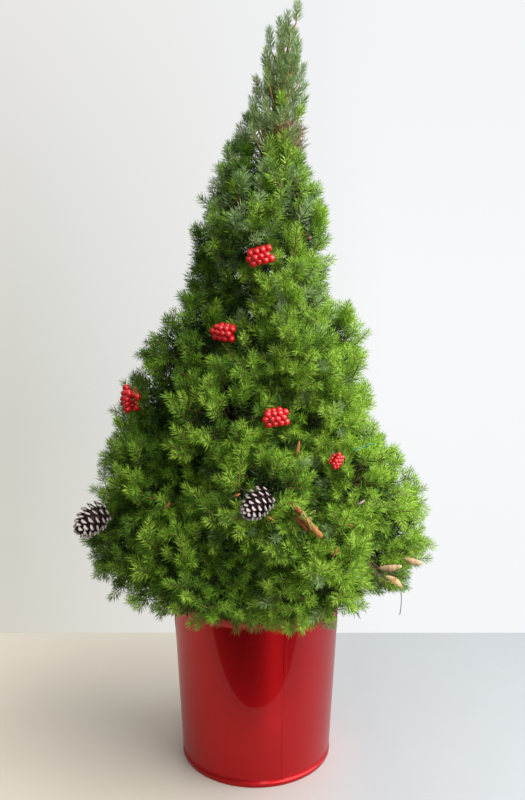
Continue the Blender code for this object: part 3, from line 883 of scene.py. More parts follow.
def lowest_growth(point):
    """The height that needles hang down to, by the way round the pot."""
    azimuth = math.degrees(math.atan2(point.y, point.x)) % 360
    rise = HEM_RISE * max(math.hypot(point.x, point.y) - HEM_RADIUS, 0.0)
    return float(np.interp(azimuth, *zip(*HEM))) + rise


def outline_room(point):
    """The trunk on a point's level, the way out to it, and how far the crown may go that way."""
    heights, lefts, rights = zip(*OUTLINE)
    trunk = trunk_point(point.z)
    out = point - trunk
    left, right = np.interp(point.z, heights, lefts), np.interp(point.z, heights, rights)
    smooth = side_reach(trunk, out.x / max(math.hypot(out.x, out.y), 1e-6), left, right)
    return trunk, out, smooth - RAGGED * max(noise.noise(point / RAGGED_SIZE), 0.0) - NEEDLE_MARGIN


def pulled_in(point):
    """The point itself, or the nearest point on its level inside the crown's outline."""
    trunk, out, limit = outline_room(point)
    limit = max(limit, 0.004)
    return point if out.length <= limit else trunk + out * (limit / out.length)


def drawn_out(point, push):
    """A spray's tip moved out on its level, by no more than push, towards the crown's outline."""
    _, out, limit = outline_room(point)
    short = limit - out.length
    return pulled_in(point) if short <= 0 else point + out.normalized() * min(short, push)


def out_of_bounds(point, space):
    """Whether a shoot's end is in the pot or below the crown."""
    wide = pot_radius(POT_HEIGHT) + RIM_PROUD + space
    in_pot = math.hypot(point.x, point.y) < wide and point.z < POT_HEIGHT + space
    return in_pot or point.z < lowest_growth(point) + space


def in_the_way(start, end, rooms):
    """Whether a shoot would run through a trimming."""
    places = [start.lerp(end, share) for share in (0.35, 0.7, 1.0)]
    return any((spot - middle).length < radius for middle, radius in rooms for spot in places)


def pick_tint(mass, leader, dice, vigour=0.5):
    """A tint dealt out to a shoot: brighter on leaders and lively sprays, duller at the top, and brighter as
    painted light on the side that the key light falls on, with a few more muted shoots there.
    """
    painted_light_facing = PAINTED_LIGHT_SIDE.dot(mass.outward)
    if dice.random() < MUTED_SHARE.get(mass.tier.name, 0.09 * max(painted_light_facing, 0.0)):
        return MUTED
    # Painted light: masses facing the key light get brighter tints
    luck = dice.random() + 0.9 * (0.5 - vigour) - 0.62 * painted_light_facing + 0.12
    if luck < (0.60 if leader else 0.26):
        return BRIGHT
    return FRESH if leader or luck < 0.72 else MIDDLE


def upward(way, mass, dice):
    """A direction bent upwards as the mass's tier grows."""
    return (way.normalized() + up(mass.tier.upright * dice.uniform(0.7, 1.3))).normalized()


def sagging(root, end, sag):
    """A twig's points from its root to a shoot's foot, hanging a little."""
    return bezier(root, root.lerp(end, 0.5) - up(sag), end, 4)


def grow_spray(mass, walls, root, tip, push, rooms, dice):
    """The leading shoot and the side shoots of one spray, and the line that they grow on."""
    scale = min(max(mass.size / 0.09, 0.70), 1.0)
    run = tip - root
    way = upward(run, mass, dice)
    leader_start = tip - way * min(LEADER_LENGTH * scale * dice.uniform(0.85, 1.1), run.length * 0.92)
    path = sagging(root, leader_start, 0.10 * run.length) + [tip]
    shoots = []
    vigour = dice.random()
    if not out_of_bounds(tip, SHOOT_ROOM) and not in_the_way(leader_start, tip, rooms):
        shoots.append(Shoot(leader_start, tip, pick_tint(mass, True, dice, vigour), 1.0, 0.0))
    turn = dice.uniform(0, math.tau)
    aim = run.to_track_quat("Z", "Y")
    for at in range(SIDE_SHOOTS):
        share = SIDE_BAND[0] + (SIDE_BAND[1] - SIDE_BAND[0]) * at / (SIDE_SHOOTS - 1)
        angle = turn + GOLDEN_ANGLE * at
        tilt = SIDE_SPLAY + dice.uniform(-0.18, 0.18)
        side = Vector((math.sin(tilt) * math.cos(angle), math.sin(tilt) * math.sin(angle), math.cos(tilt)))
        start = root.lerp(tip, share)
        side_length = dice.uniform(*SIDE_LENGTH) * scale * (1 - 0.25 * share)
        end = start + upward(aim @ side, mass, dice) * side_length
        out = end - mass.centre
        beyond = out.length > 1.02 * lobe_reach(mass, out.normalized()) + push or pulled_in(end) is not end
        outside = min(offset - outward.dot(out) for outward, offset in walls) < -WALL_OVERRUN
        if not (beyond or outside or out_of_bounds(end, SHOOT_ROOM) or in_the_way(start, end, rooms)):
            shoots.append(Shoot(start, end, pick_tint(mass, False, dice, vigour), 0.92, 0.0))
    return shoots, path


def stem_place(stem, foot):
    """The place on a stem from which a twig rises to a shoot's foot."""
    for share in range(20, -1, -1):
        at = share / 20 * (len(stem.points) - 1)
        low = min(int(at), len(stem.points) - 2)
        spot = stem.points[low].lerp(stem.points[low + 1], at - low)
        sideways = math.hypot(foot.x - spot.x, foot.y - spot.y)
        if foot.z - spot.z >= max(TWIG_RISE * sideways, TWIG_DROP):
            return spot
    return trunk_point(min(foot.z - 0.03, TRUNK_TOP))


def grow_candles(mass, stem, masses, dice):
    """Upright blunt shoots on bare twigs, which make up the loose masses at the top."""
    loose = [other for other in masses if not other.tier.dense]

    def is_mine(spot):
        return min(loose, key=lambda other: (other.centre - spot).length) is mass

    tips = [tip for tip in LEADERS if is_mine(tip)]
    for direction in growth_directions(mass, round(mass.size**2 * mass.tier.rise / CANDLE_SPACE), dice):
        direction = (direction + up(CANDLE_LIFT)).normalized()
        tip = pulled_in(mass.centre + direction * lobe_reach(mass, direction) * dice.uniform(0.6, 0.9))
        if all((tip - other).length > CANDLE_APART for other in tips):
            tips.append(tip)
    if is_mine(DEAD_PATCH):
        for _ in range(DEAD_SPRIGS):
            tips.append(DEAD_PATCH + Vector(dice.gauss(0, DEAD_REACH / 2) for _ in range(3)))
    shoots, rods = [], []
    for tip in tips:
        way = upward(tip - stem.points[0], mass, dice)
        start = tip - way * dice.uniform(*CANDLE_LENGTH)
        dead = (tip - DEAD_PATCH).length < DEAD_REACH
        slim = min(max((tip.z - CANDLE_FOOT) / CANDLE_RISE, 0.0), 1.0)
        green = MUTED if dice.random() < 0.55 + 0.35 * slim else pick_tint(mass, False, dice)
        tint = DRY if dead and dice.random() < 0.75 else green
        plump = 1.0 + (CANDLE_PLUMP - 1.0) * slim
        shoots.append(Shoot(start, tip, tint, plump * dice.uniform(0.9, 1.1), slim))
        path = sagging(stem_place(stem, start), start, 0.0015)
        rods += [Rod(low, high, 0.0012, 0.0010, ORANGE_TWIG) for low, high in zip(path, path[1:])]
        rods.append(Rod(start, tip, 0.0008, 0.0004, ORANGE_TWIG))
    return shoots, rods


def grow_mass(mass, masses, rooms, hollows):
    """Every shoot and twig of one mass."""
    dice = random.Random(SEED + mass.index)
    bough = bough_limb(mass) if mass.tier.bough else None
    stem = stem_limb(mass, bough)
    walls = cell_walls(mass, masses, bough)
    rods = [Rod(*run, OLD_TWIG) for run in zip(stem.points, stem.points[1:], stem.radii, stem.radii[1:])]
    if not mass.tier.dense:
        shoots, grown_rods = grow_candles(mass, stem, masses, dice)
        return shoots, rods + grown_rods
    shoots = []
    for direction in growth_directions(mass, max(round(mass.size**2 / SPRAY_AREA), FEWEST_SPRAYS), dice):
        reach = min(lobe_reach(mass, direction), wall_reach(walls, direction) + WALL_OVERRUN)
        if mass.outward.dot(direction) < INWARD_LIMIT or reach < SHORTEST_SPRAY * mass.size:
            continue
        end = mass.centre + direction * reach
        clump = 2.4 * noise.noise(end / CLUMP_SIZE) - 0.1
        dark = max(1.8 * (1 - (end - middle).length / radius) for middle, radius in hollows)
        hollow = min(max(clump, dark, 0.0), 1.0)
        depth = 1 - CLUMP_DEPTH * hollow - dice.uniform(0.0, 0.05)
        push = LONGEST_PUSH * (1 - hollow) * min(max(2 * direction.dot(mass.outward), 0.0), 1.0)
        grown_tip = mass.centre + direction * (reach * depth - 0.003)
        grown_tip.z += dice.uniform(0, RISING) * max(direction.z, 0.0)
        tip = drawn_out(grown_tip, push)
        root = mass.centre.lerp(tip, SPRAY_ROOT)
        grown, path = grow_spray(mass, walls, root, tip, (tip - grown_tip).length, rooms, dice)
        if not grown:
            continue
        shoots += grown
        rods.append(Rod(mass.centre.lerp(root, 0.25), root, 0.0011, 0.0009, OLD_TWIG))
        rods += [Rod(low, high, 0.0007, 0.0006, OLD_TWIG) for low, high in zip(path, path[1:])
                 if not out_of_bounds(high, 0.012)]
        for shoot in grown:
            tint = ORANGE_TWIG if dice.random() < 0.15 else YOUNG_TWIG
            rods.append(Rod(shoot.start, shoot.end, 0.0006, 0.0003, tint))
    if mass.tier is TIERS[0]:
        for hang in (grow_hem, grow_droopers):
            hang(mass, rooms, dice, shoots, rods)
    return shoots + inner_shoots(mass, walls, dice), rods


def hang_shoot(shoots, rods, inner, shoot):
    """Adds a shoot that hangs, on a thin twig from further in."""
    shoots.append(shoot)
    rods.append(Rod(inner, shoot.start, 0.0009, 0.0008, OLD_TWIG))
    rods.append(Rod(shoot.start, shoot.end, 0.0007, 0.0003, YOUNG_TWIG))


def grow_hem(mass, rooms, dice, shoots, rods):
    """Adds short shoots that hang out over the pot's rim below a mass, all the way across it."""
    middle = math.atan2(mass.outward.y, mass.outward.x)
    spread = math.pi / mass.tier.lobes
    rim = pot_radius(POT_HEIGHT) + RIM_PROUD
    for at in range(HEM_SHOOTS):
        outward = way_round(middle + spread * (2 * (at + dice.random()) / HEM_SHOOTS - 1))
        reach = rim + dice.uniform(0.008, 0.018)
        end = outward * reach + up(lowest_growth(outward * reach) - dice.uniform(0.001, 0.009))
        start = outward * (reach - dice.uniform(0.014, 0.020)) + up(POT_HEIGHT + 0.016)
        if not in_the_way(start, end, rooms):
            inner = outward * (rim - 0.030) + up(POT_HEIGHT + 0.030)
            hang_shoot(shoots, rods, inner, Shoot(start, end, pick_tint(mass, False, dice), 0.95, 0.0))


def grow_droopers(mass, rooms, dice, shoots, rods):
    """Adds sparse dull twigs that droop from a mass, where it lies on the crown's drooping sides."""
    middle = math.degrees(math.atan2(mass.outward.y, mass.outward.x)) % 360
    for first, last, low in DROOP_SIDES * DROOP_SHOOTS:
        azimuth = dice.uniform(first, last)
        radius = dice.uniform(*DROOP_RADIUS)
        height = low + dice.uniform(0, DROOP_BAND)
        if abs((azimuth - middle + 180) % 360 - 180) > 180 / mass.tier.lobes:
            continue
        outward = way_round(math.radians(azimuth))
        end = pulled_in(outward * radius + up(height))
        start = end - outward * dice.uniform(0.018, 0.026) + up(dice.uniform(0.004, 0.012))
        tint = MIDDLE if dice.random() < 0.6 else FRESH
        hang_shoot(shoots, rods, start - outward * 0.030 + up(0.026), Shoot(start, end, tint, 0.9, 0.3))


def inner_shoots(mass, walls, dice):
    """Older, darker shoots deeper inside a dense mass, which close it to the light behind."""
    shoots = []
    for direction in growth_directions(mass, round(max(mass.size, 0.06) ** 2 / INNER_AREA), dice):
        lobe = lobe_reach(mass, direction)
        wall = wall_reach(walls, direction)
        reach = min(lobe, wall + WALL_OVERRUN)
        start = mass.centre + direction * reach * dice.uniform(0.22, 0.36)
        share = dice.uniform(0.85, 1.0) if wall < lobe else dice.uniform(0.58, 0.72)
        end = mass.centre + direction * reach * share
        beyond = end + direction * 0.012
        if (end - start).length > 0.006 and not out_of_bounds(end, 0.010) and pulled_in(beyond) is beyond:
            shoots.append(Shoot(start, end, DEEP, 1.15, 0.0))
    return shoots


def with_darker_feet(shoots):
    """Splits every green shoot, so that the needles at its foot are of the next darker tint."""
    parts = []
    for shoot in shoots:
        if shoot.tint in DARKER:
            middle = shoot.start.lerp(shoot.end, FOOT_SHARE)
            parts.append(shoot._replace(end=middle, tint=DARKER[shoot.tint], plump=-shoot.plump))
            shoot = shoot._replace(start=middle)
        parts.append(shoot)
    return parts


def across(ways):
    """Two directions square to each of the given ones."""
    guide = np.where(np.abs(ways[:, 2:]) < 0.9, np.array([[0.0, 0.0, 1.0]]), np.array([[1.0, 0.0, 0.0]]))
    first = np.cross(ways, guide)
    first /= np.linalg.norm(first, axis=1, keepdims=True)
    return first, np.cross(ways, first)


def needle_mesh(name, shoots, crown, seed):
    """Needles round every shoot: narrow folded blades that stand out more towards its foot."""
    chance = np.random.default_rng(seed)
    starts, ends, tints, plump, narrow = (np.array(column) for column in zip(*shoots))
    runs = ends - starts
    is_foot, plump = plump < 0, np.abs(plump)
    lengths = np.linalg.norm(runs, axis=1)
    old = (tints == DEEP) & ~is_foot
    density = crown.needles_per_metre * np.where(old, 0.24, np.where(tints == DRY, 0.4, 1.0))
    density *= np.where(is_foot, 0.7, 1.0)
    counts = np.maximum((lengths * density * (1 + 0.6 * narrow)).astype(int), 6)
    shoot_of = np.repeat(np.arange(len(shoots)), counts)
    total = len(shoot_of)
    order = np.arange(total) - np.repeat(np.cumsum(counts) - counts, counts)
    share = 0.04 + 0.96 * (order + chance.random(total)) / counts[shoot_of]
    stage = np.where(is_foot[shoot_of], 0.0, share)
    ways = (runs / lengths[:, None])[shoot_of]
    first, second = across(ways)
    turn = (order * GOLDEN_ANGLE + chance.normal(0, 0.25, total))[:, None]
    outward = first * np.cos(turn) + second * np.sin(turn)
    slim = narrow[shoot_of]
    foot_splay = 1.12 - 0.17 * slim
    tip_splay = 0.74 + 0.02 * slim
    splay = foot_splay + (tip_splay - foot_splay) * stage**2 - 0.30 * stage**8 + chance.normal(0, 0.13, total)
    way = ways * np.cos(splay)[:, None] + outward * np.sin(splay)[:, None]
    size = crown.needle_length * plump[shoot_of] * (1 - 0.29 * slim) * (1 - (0.18 - 0.06 * slim) * stage**4)
    size = (size * chance.uniform(0.80, 1.12, total))[:, None]
    roots = starts[shoot_of] + runs[shoot_of] * share[:, None]
    side, lift = across(way)
    roll = chance.uniform(0, math.tau, total)[:, None]
    side, lift = side * np.cos(roll) + lift * np.sin(roll), lift * np.cos(roll) - side * np.sin(roll)
    half = crown.needle_width / 2 * np.where(old[shoot_of], 2.0, 1.0)[:, None]
    bend = (ways - way * (ways * way).sum(1, keepdims=True)) * size * 0.10
    middle = roots + way * size * 0.45 - lift * half * crown.needle_fold
    tips = roots + way * size
    corners = np.stack([roots, middle - side * half, middle + side * half, tips + bend], axis=1)
    base = np.arange(total)[:, None] * 4
    faces = np.concatenate([base + [0, 3, 1], base + [0, 2, 3]], axis=1).reshape(-1, 3)
    hanging = (tips[:, 2] < POT_HEIGHT + 0.006) & (chance.random(total) < 0.6) & (share > 0.5)
    slots = np.where(hanging, BLUSH, tints[shoot_of])
    return mesh_from_arrays(name, corners.reshape(-1, 3), faces, np.repeat(slots, 2))


def rod_mesh(name, rods):
    """Three-sided twigs along straight runs."""
    starts, ends, start_radii, end_radii, tints = (np.array(column) for column in zip(*rods))
    runs = ends - starts
    first, second = across(runs / np.maximum(np.linalg.norm(runs, axis=1, keepdims=True), 1e-6))
    corners = []
    for along, radii in ((0.0, start_radii), (1.0, end_radii)):
        for corner in range(3):
            angle = math.tau * corner / 3
            spoke = first * math.cos(angle) + second * math.sin(angle)
            corners.append(starts + runs * along + spoke * radii[:, None])
    base = np.arange(len(rods))[:, None] * 6
    sides = [base + [near, (near + 1) % 3, (near + 1) % 3 + 3, near + 3] for near in range(3)]
    faces = np.concatenate(sides, axis=1).reshape(-1, 4)
    return mesh_from_arrays(name, np.stack(corners, axis=1).reshape(-1, 3), faces, np.repeat(tints, 3))


# Operators


class SPRUCE_OT_trunk(Operator):
    """Cover the trunk and the boughs with ridged bark"""

    bl_idname = "spruce.trunk"
    bl_label = "Trunk and Boughs"

    def execute(self, context):
        bark = bark_material("spruce_bark", (0.110, 0.062, 0.036), 150.0, 0.0012)
        self.cover("trunk_bark", [trunk_limb(BARK_SPACING)], TRUNK_SIDES, bark, ["trunk"])
        masses = plan_masses()
        for tier in TIERS:
            if tier.bough:
                carried = [mass for mass in masses if mass.tier is tier]
                nodes = [mass.name.replace("needles", "bough") for mass in carried]
                limbs = [bough_limb(mass, BOUGH_RINGS) for mass in carried]
                self.cover(f"boughs_{tier.name}", limbs, BOUGH_SIDES, bark, nodes)
        return {"FINISHED"}

    def cover(self, name, limbs, sides, bark, nodes):
        bm = bmesh.new()
        for limb in limbs:
            skin_along(bm, limb.points, limb.radii, sides, self.ridges)
        settle(piece_from_bmesh(name, bm, [bark]), nodes)

    def ridges(self, angle, point):
        """The share of a limb's radius that its ridges and flakes of bark leave it."""
        around = Vector((math.cos(angle) * 2.6, math.sin(angle) * 2.6, point.z * 26 + point.x * 40))
        flakes = noise.noise(around * 1.7 + Vector((7.0, 3.0, 1.0)))
        return 0.95 + 0.07 * noise.noise(around) + 0.05 * flakes


class SPRUCE_OT_crown(Operator):
    """Grow the shoots, needles and twigs of every mass"""

    bl_idname = "spruce.crown"
    bl_label = "Needles and Twigs"

    def execute(self, context):
        crown = context.scene.spruce_crown
        tints = [plain_material(f"needles_{name}", getattr(crown, name), roughness)
                 for name, roughness in NEEDLE_ROUGHNESS.items()]
        twigs = [plain_material(f"twig_{name}", getattr(crown, f"{name}_twig"), roughness)
                 for name, roughness in TWIG_ROUGHNESS.items()]
        masses = plan_masses()
        rooms = trim_rooms(masses)
        hollows = [(crown_surface(azimuth, height, masses)[0], radius) for azimuth, height, radius in HOLLOWS]
        rods = {}
        for mass in masses:
            shoots, grown = grow_mass(mass, masses, rooms, hollows)
            rods.setdefault(f"twigs_{mass.tier.name}", []).extend(grown)
            name = mass.name.replace("needles", "foliage")
            mesh = needle_mesh(name, with_darker_feet(shoots), crown, SEED + mass.index)
            settle(add_piece(name, mesh, tints), (mass.name,))
        for name, found in rods.items():
            settle(add_piece(name, rod_mesh(name, found), twigs))
        return {"FINISHED"}


class SPRUCE_OT_pot(Operator):
    """Turn the lacquered tin pot, with its rolled rim and hoop and its folded seam"""

    bl_idname = "spruce.pot"
    bl_label = "Tin Pot"

    def execute(self, context):
        pot = context.scene.spruce_pot
        lacquer = textured(
            "red_lacquer_tin", 0.27, mottle, 240.0, (pot.lacquer_shade, pot.lacquer), 0.00001, (0.38, 0.46),
            metallic=0.92, coat=0.36, coat_roughness=0.03,
        )
        bm = bmesh.new()
        spun(bm, self.profile(pot), POT_STEPS)
        for vert in bm.verts:
            radius = math.hypot(vert.co.x, vert.co.y)
            if radius > FOOT_RADIUS * 0.6 and HOOP_HEIGHT < vert.co.z < POT_HEIGHT - RIM_HEIGHT:
                push = pot.dent * noise.noise(vert.co * 11.0)
                vert.co.x += vert.co.x / radius * push
                vert.co.y += vert.co.y / radius * push
        settle(piece_from_bmesh("tin_pot", bm, [lacquer]), ("pot",))
        settle(self.seam(pot, lacquer), ("pot_seam",))
        return {"FINISHED"}

    def profile(self, pot):
        """Outline of the sheet from the middle of its inner floor round to the middle of its base."""
        floor = POT_FLOOR + pot.recess
        corner = pot_radius(POT_FLOOR) - POT_WALL
        points = [(0.0, floor), (corner - 0.002, floor), (corner, floor + 0.002)]
        low, high = 0.010, POT_HEIGHT - 0.0035
        for step in range(1, WALL_STEPS + 1):
            height = low + (high - low) * step / WALL_STEPS
            points.append((pot_radius(height) - POT_WALL, height))
        top = POT_HEIGHT - RIM_HEIGHT
        points += self.roll(POT_HEIGHT - RIM_HEIGHT / 2, RIM_HEIGHT / 2, RIM_PROUD, 110, -90)
        for step in range(1, WALL_STEPS):
            height = top - (top - pot.hoop) * step / WALL_STEPS
            points.append((pot_radius(height), height))
        points += self.roll(pot.hoop / 2, pot.hoop / 2, HOOP_PROUD, 90, -100, 0.2)
        return points + [(FOOT_RADIUS - 0.004, 0.0012), (FOOT_RADIUS - 0.006, pot.recess), (0.0, pot.recess)]

    def roll(self, middle, half, proud, first, last, squareness=1.0):
        """Points of a rolled edge, from one angle down to another. A low squareness flattens it."""
        points = []
        for step in range(15):
            angle = math.radians(first + (last - first) * step / 14)
            height = middle + half * math.sin(angle)
            out = math.copysign(abs(math.cos(angle)) ** squareness, math.cos(angle))
            points.append((pot_radius(height) + proud * out, height))
        return points

    def seam(self, pot, lacquer):
        """A folded strip up the wall, with its two edges rounded."""
        low = HOOP_HEIGHT + CLEARANCE
        high = POT_HEIGHT - RIM_HEIGHT - CLEARANCE
        middle = (low + high) / 2
        bm = bmesh.new()
        bmesh.ops.create_cube(bm, size=1.0)
        bmesh.ops.scale(bm, vec=(SEAM_THICKNESS, SEAM_WIDTH, high - low), verts=bm.verts)
        upright = [edge for edge in bm.edges if abs(edge.verts[0].co.z - edge.verts[1].co.z) > 0.1]
        soften(bm, upright, SEAM_THICKNESS * 0.45)
        for vert in bm.verts:
            vert.co.x += POT_FLARE * vert.co.z
        stand_off = pot_radius(middle) - pot.seam_sunk + SEAM_THICKNESS / 2
        bmesh.ops.translate(bm, vec=(stand_off, 0.0, middle), verts=bm.verts)
        rotate(bm, bm.verts, SEAM_ANGLE, "Z")
        return piece_from_bmesh("folded_seam", bm, [lacquer], smooth=False)


class SPRUCE_OT_soil(Operator):
    """Fill the pot with crumbly soil"""

    bl_idname = "spruce.soil"
    bl_label = "Soil"

    def execute(self, context):
        pot = context.scene.spruce_pot
        earth = textured("potting_mix", 0.95, mottle, 220.0, shades(pot.soil, 0.55, 1.7), 0.0016, (0.85, 1.0))
        chip = bark_material("bark_chip", (0.105, 0.055, 0.030), 240.0, 0.0008)
        pale = ((0.50, 0.48, 0.43), (0.66, 0.64, 0.60))
        perlite = textured("perlite", 0.8, mottle, 300.0, pale, 0.0002, (0.7, 0.9))
        inset = POT_WALL + CLEARANCE
        wide = pot_radius(SOIL_LEVEL) - inset
        shares = [ring / SOIL_RINGS for ring in range(SOIL_RINGS + 1)]
        floor = POT_FLOOR + 0.004
        profile = [(wide * share, SOIL_LEVEL - self.fall(share)) for share in shares]
        bm = bmesh.new()
        spun(bm, profile + [(pot_radius(floor) - inset, floor), (0.0, floor)], SOIL_STEPS)
        for vert in bm.verts:
            if vert.co.z > SOIL_LEVEL - 0.006 and vert.co.length > 0:
                vert.co.z -= 0.0016 * (1 + noise.noise(vert.co * 190)) * 0.5 + 0.0006
        self.scatter(bm, pot, wide)
        mix = piece_from_bmesh("soil_mix", bm, [earth, chip, perlite], smooth=False)
        settle(mix, ("soil",))
        return {"FINISHED"}

    def fall(self, share):
        """How far the soil falls away below its middle at a share of its radius."""
        return SOIL_CROWN * max(share - 0.5, 0.0) * 2

    def scatter(self, bm, pot, wide):
        """Crumbs, bark chips and a few white grains half sunk into the soil."""
        dice = random.Random(SOIL_SEED)
        for slot, size in [(0, 1.0)] * 240 + [(1, 1.5)] * 60 + [(2, 0.6)] * 34:
            reach = (wide - 0.006) * math.sqrt(dice.random())
            angle = dice.uniform(0, math.tau)
            if reach < TRUNK_FOOT_RADIUS + ROOT_FLARE + 0.003:
                continue
            crumb = bmesh.ops.create_icosphere(bm, subdivisions=1, radius=pot.crumb / 2 * size)["verts"]
            flat = (dice.uniform(0.8, 1.6), dice.uniform(0.6, 1.1), dice.uniform(0.35, 0.7))
            bmesh.ops.scale(bm, vec=flat, verts=crumb)
            rotate(bm, crumb, dice.uniform(0, math.tau), "Z")
            height = SOIL_LEVEL - self.fall(reach / wide) - 0.0008
            spot = (reach * math.cos(angle), reach * math.sin(angle), height)
            bmesh.ops.translate(bm, vec=spot, verts=crumb)
            fill_slot(crumb, slot)


class SPRUCE_OT_berries(Operator):
    """Set clusters of glossy berries on the crown"""

    bl_idname = "spruce.berries"
    bl_label = "Berries"

    def execute(self, context):
        trim = context.scene.spruce_trim
        berry = textured(
            "berry_gloss", 0.16, mottle, 160.0, shades(trim.berry, 0.72, 1.0), 0.00002, (0.12, 0.22),
            coat=0.6, coat_roughness=0.06,
        )
        stalk = bark_material("berry_stalk", (0.045, 0.060, 0.020), 500.0, 0.0001)
        masses = plan_masses()
        for number, perch in enumerate(BERRIES, 1):
            bm = bmesh.new()
            self.cluster(bm, trim, random.Random(BERRY_SEED + number))
            seat(bm, perch, masses, perch.size)
            settle(piece_from_bmesh(f"berries_{number}", bm, [berry, stalk]))
        return {"FINISHED"}

    def cluster(self, bm, trim, dice):
        """Rows of berries pressed together over a low dome, each on its stalk."""
        foot = up(-0.020)
        step = trim.berry_radius * 1.55
        spots = []
        for row in range(trim.berry_rows):
            for column in range(trim.berry_columns):
                x = (column - (trim.berry_columns - 1) / 2 + 0.25 * (-1) ** row) * step
                y = (row - (trim.berry_rows - 1) / 2) * step * 0.84
                spots.append(Vector((x, y, 0.007 - 16.0 * (x * x + 2.2 * y * y))))
        for column in range(trim.berry_columns - 1):
            x = (column - (trim.berry_columns - 2) / 2) * step
            spots += [Vector((x, step * y, z)) for y, z in ((0.85, -0.007), (-0.85, -0.007), (0.0, -0.002))]
        for spot in spots:
            spot = spot + Vector(dice.uniform(-0.0005, 0.0005) for _ in range(3))
            radius = trim.berry_radius * dice.uniform(0.96, 1.08)
            way = (spot - foot).normalized()
            aim = way.to_track_quat("Z", "Y").to_matrix()
            berry = bmesh.ops.create_uvsphere(bm, u_segments=14, v_segments=9, radius=radius)["verts"]
            eye = bmesh.ops.create_cone(
                bm, cap_ends=True, segments=6, radius1=radius * 0.14, radius2=0.0, depth=radius * 0.2
            )["verts"]
            for verts, middle, slot in (
                (berry, spot, BERRY_TINT), (eye, spot + way * radius * 1.02, STALK_TINT),
            ):
                bmesh.ops.rotate(bm, cent=(0, 0, 0), matrix=aim, verts=verts)
                bmesh.ops.translate(bm, vec=middle, verts=verts)
                fill_slot(verts, slot)
            skin_along(bm, [spot - way * radius * 0.9, foot], [0.0006, 0.0008], 5, slot=STALK_TINT)
        skin_along(bm, [foot, foot + Vector((0, -0.004, -0.022))], [0.0011, 0.0009], 6, slot=STALK_TINT)


class SPRUCE_OT_cones(Operator):
    """Set frosted pine cones on the crown"""

    bl_idname = "spruce.cones"
    bl_label = "Pine Cones"

    def execute(self, context):
        trim = context.scene.spruce_trim
        brown = textured("cone_scale", 0.42, mottle, 130.0, shades(trim.cone, 0.45, 1.5), 0.0004, (0.45, 0.7))
        frost = textured("cone_frost", 0.75, mottle, 330.0, shades(trim.frost, 0.62, 1.0), 0.0003, (0.65, 0.9))
        masses = plan_masses()
        for number, perch in enumerate(CONES, 1):
            bm = bmesh.new()
            self.cone(bm, trim)
            seat(bm, perch, masses, perch.size)
            settle(piece_from_bmesh(f"pine_cone_{number}", bm, [brown, frost], smooth=False))
        return {"FINISHED"}

    def cone(self, bm, trim):
        """Scales in a golden spiral round an egg-shaped heart, tip down, along Y."""
        dice = random.Random(CONE_SEED)
        heart = bmesh.ops.create_uvsphere(bm, u_segments=14, v_segments=10, radius=1.0)["verts"]
        bmesh.ops.scale(bm, vec=(trim.cone_radius * 0.55,) * 2 + (trim.cone_length * 0.47,), verts=heart)
        for at in range(CONE_SCALES):
            level = (at + 0.5) / CONE_SCALES
            belly = math.sin(math.pi * (0.10 + 0.80 * level)) ** 0.75 * (1.0 - 0.22 * level)
            scale = self.scale(trim, (0.55 + 0.45 * belly) * dice.uniform(0.93, 1.05))
            spot = Vector((trim.cone_radius * 0.25 * belly, 0, trim.cone_length * (level - 0.5) * 0.94))
            tip_up = Matrix.Rotation(0.25 - 1.25 * level, 4, "Y")
            seat_of_scale = Matrix.Rotation(GOLDEN_ANGLE * at, 4, "Z") @ Matrix.Translation(spot) @ tip_up
            bmesh.ops.transform(scale, matrix=seat_of_scale, verts=scale.verts)
            join(bm, scale)
        rotate(bm, bm.verts, math.pi / 2, "X")

    def scale(self, trim, size):
        """One scale, a rounded spoon along X with a thick frosted end."""
        length = trim.cone_radius * 0.84 * size
        bm = bmesh.new()
        bmesh.ops.create_uvsphere(bm, u_segments=8, v_segments=6, radius=1.0)
        rotate(bm, bm.verts, math.pi / 2, "Y")
        for face in bm.faces:
            face.material_index = int(face.calc_center_median().x > 0.62)
        for vert in bm.verts:
            along = (vert.co.x + 1) / 2
            wide = trim.scale_width * size * (0.35 + 0.65 * min(along * 1.5, 1.0))
            thick = 0.0007 + 0.0016 * along**2
            droop = 0.0022 * along**2 - 0.0012 * vert.co.y**2 * along
            vert.co = Vector((along * length, vert.co.y * wide, vert.co.z * thick + droop))
        return bm


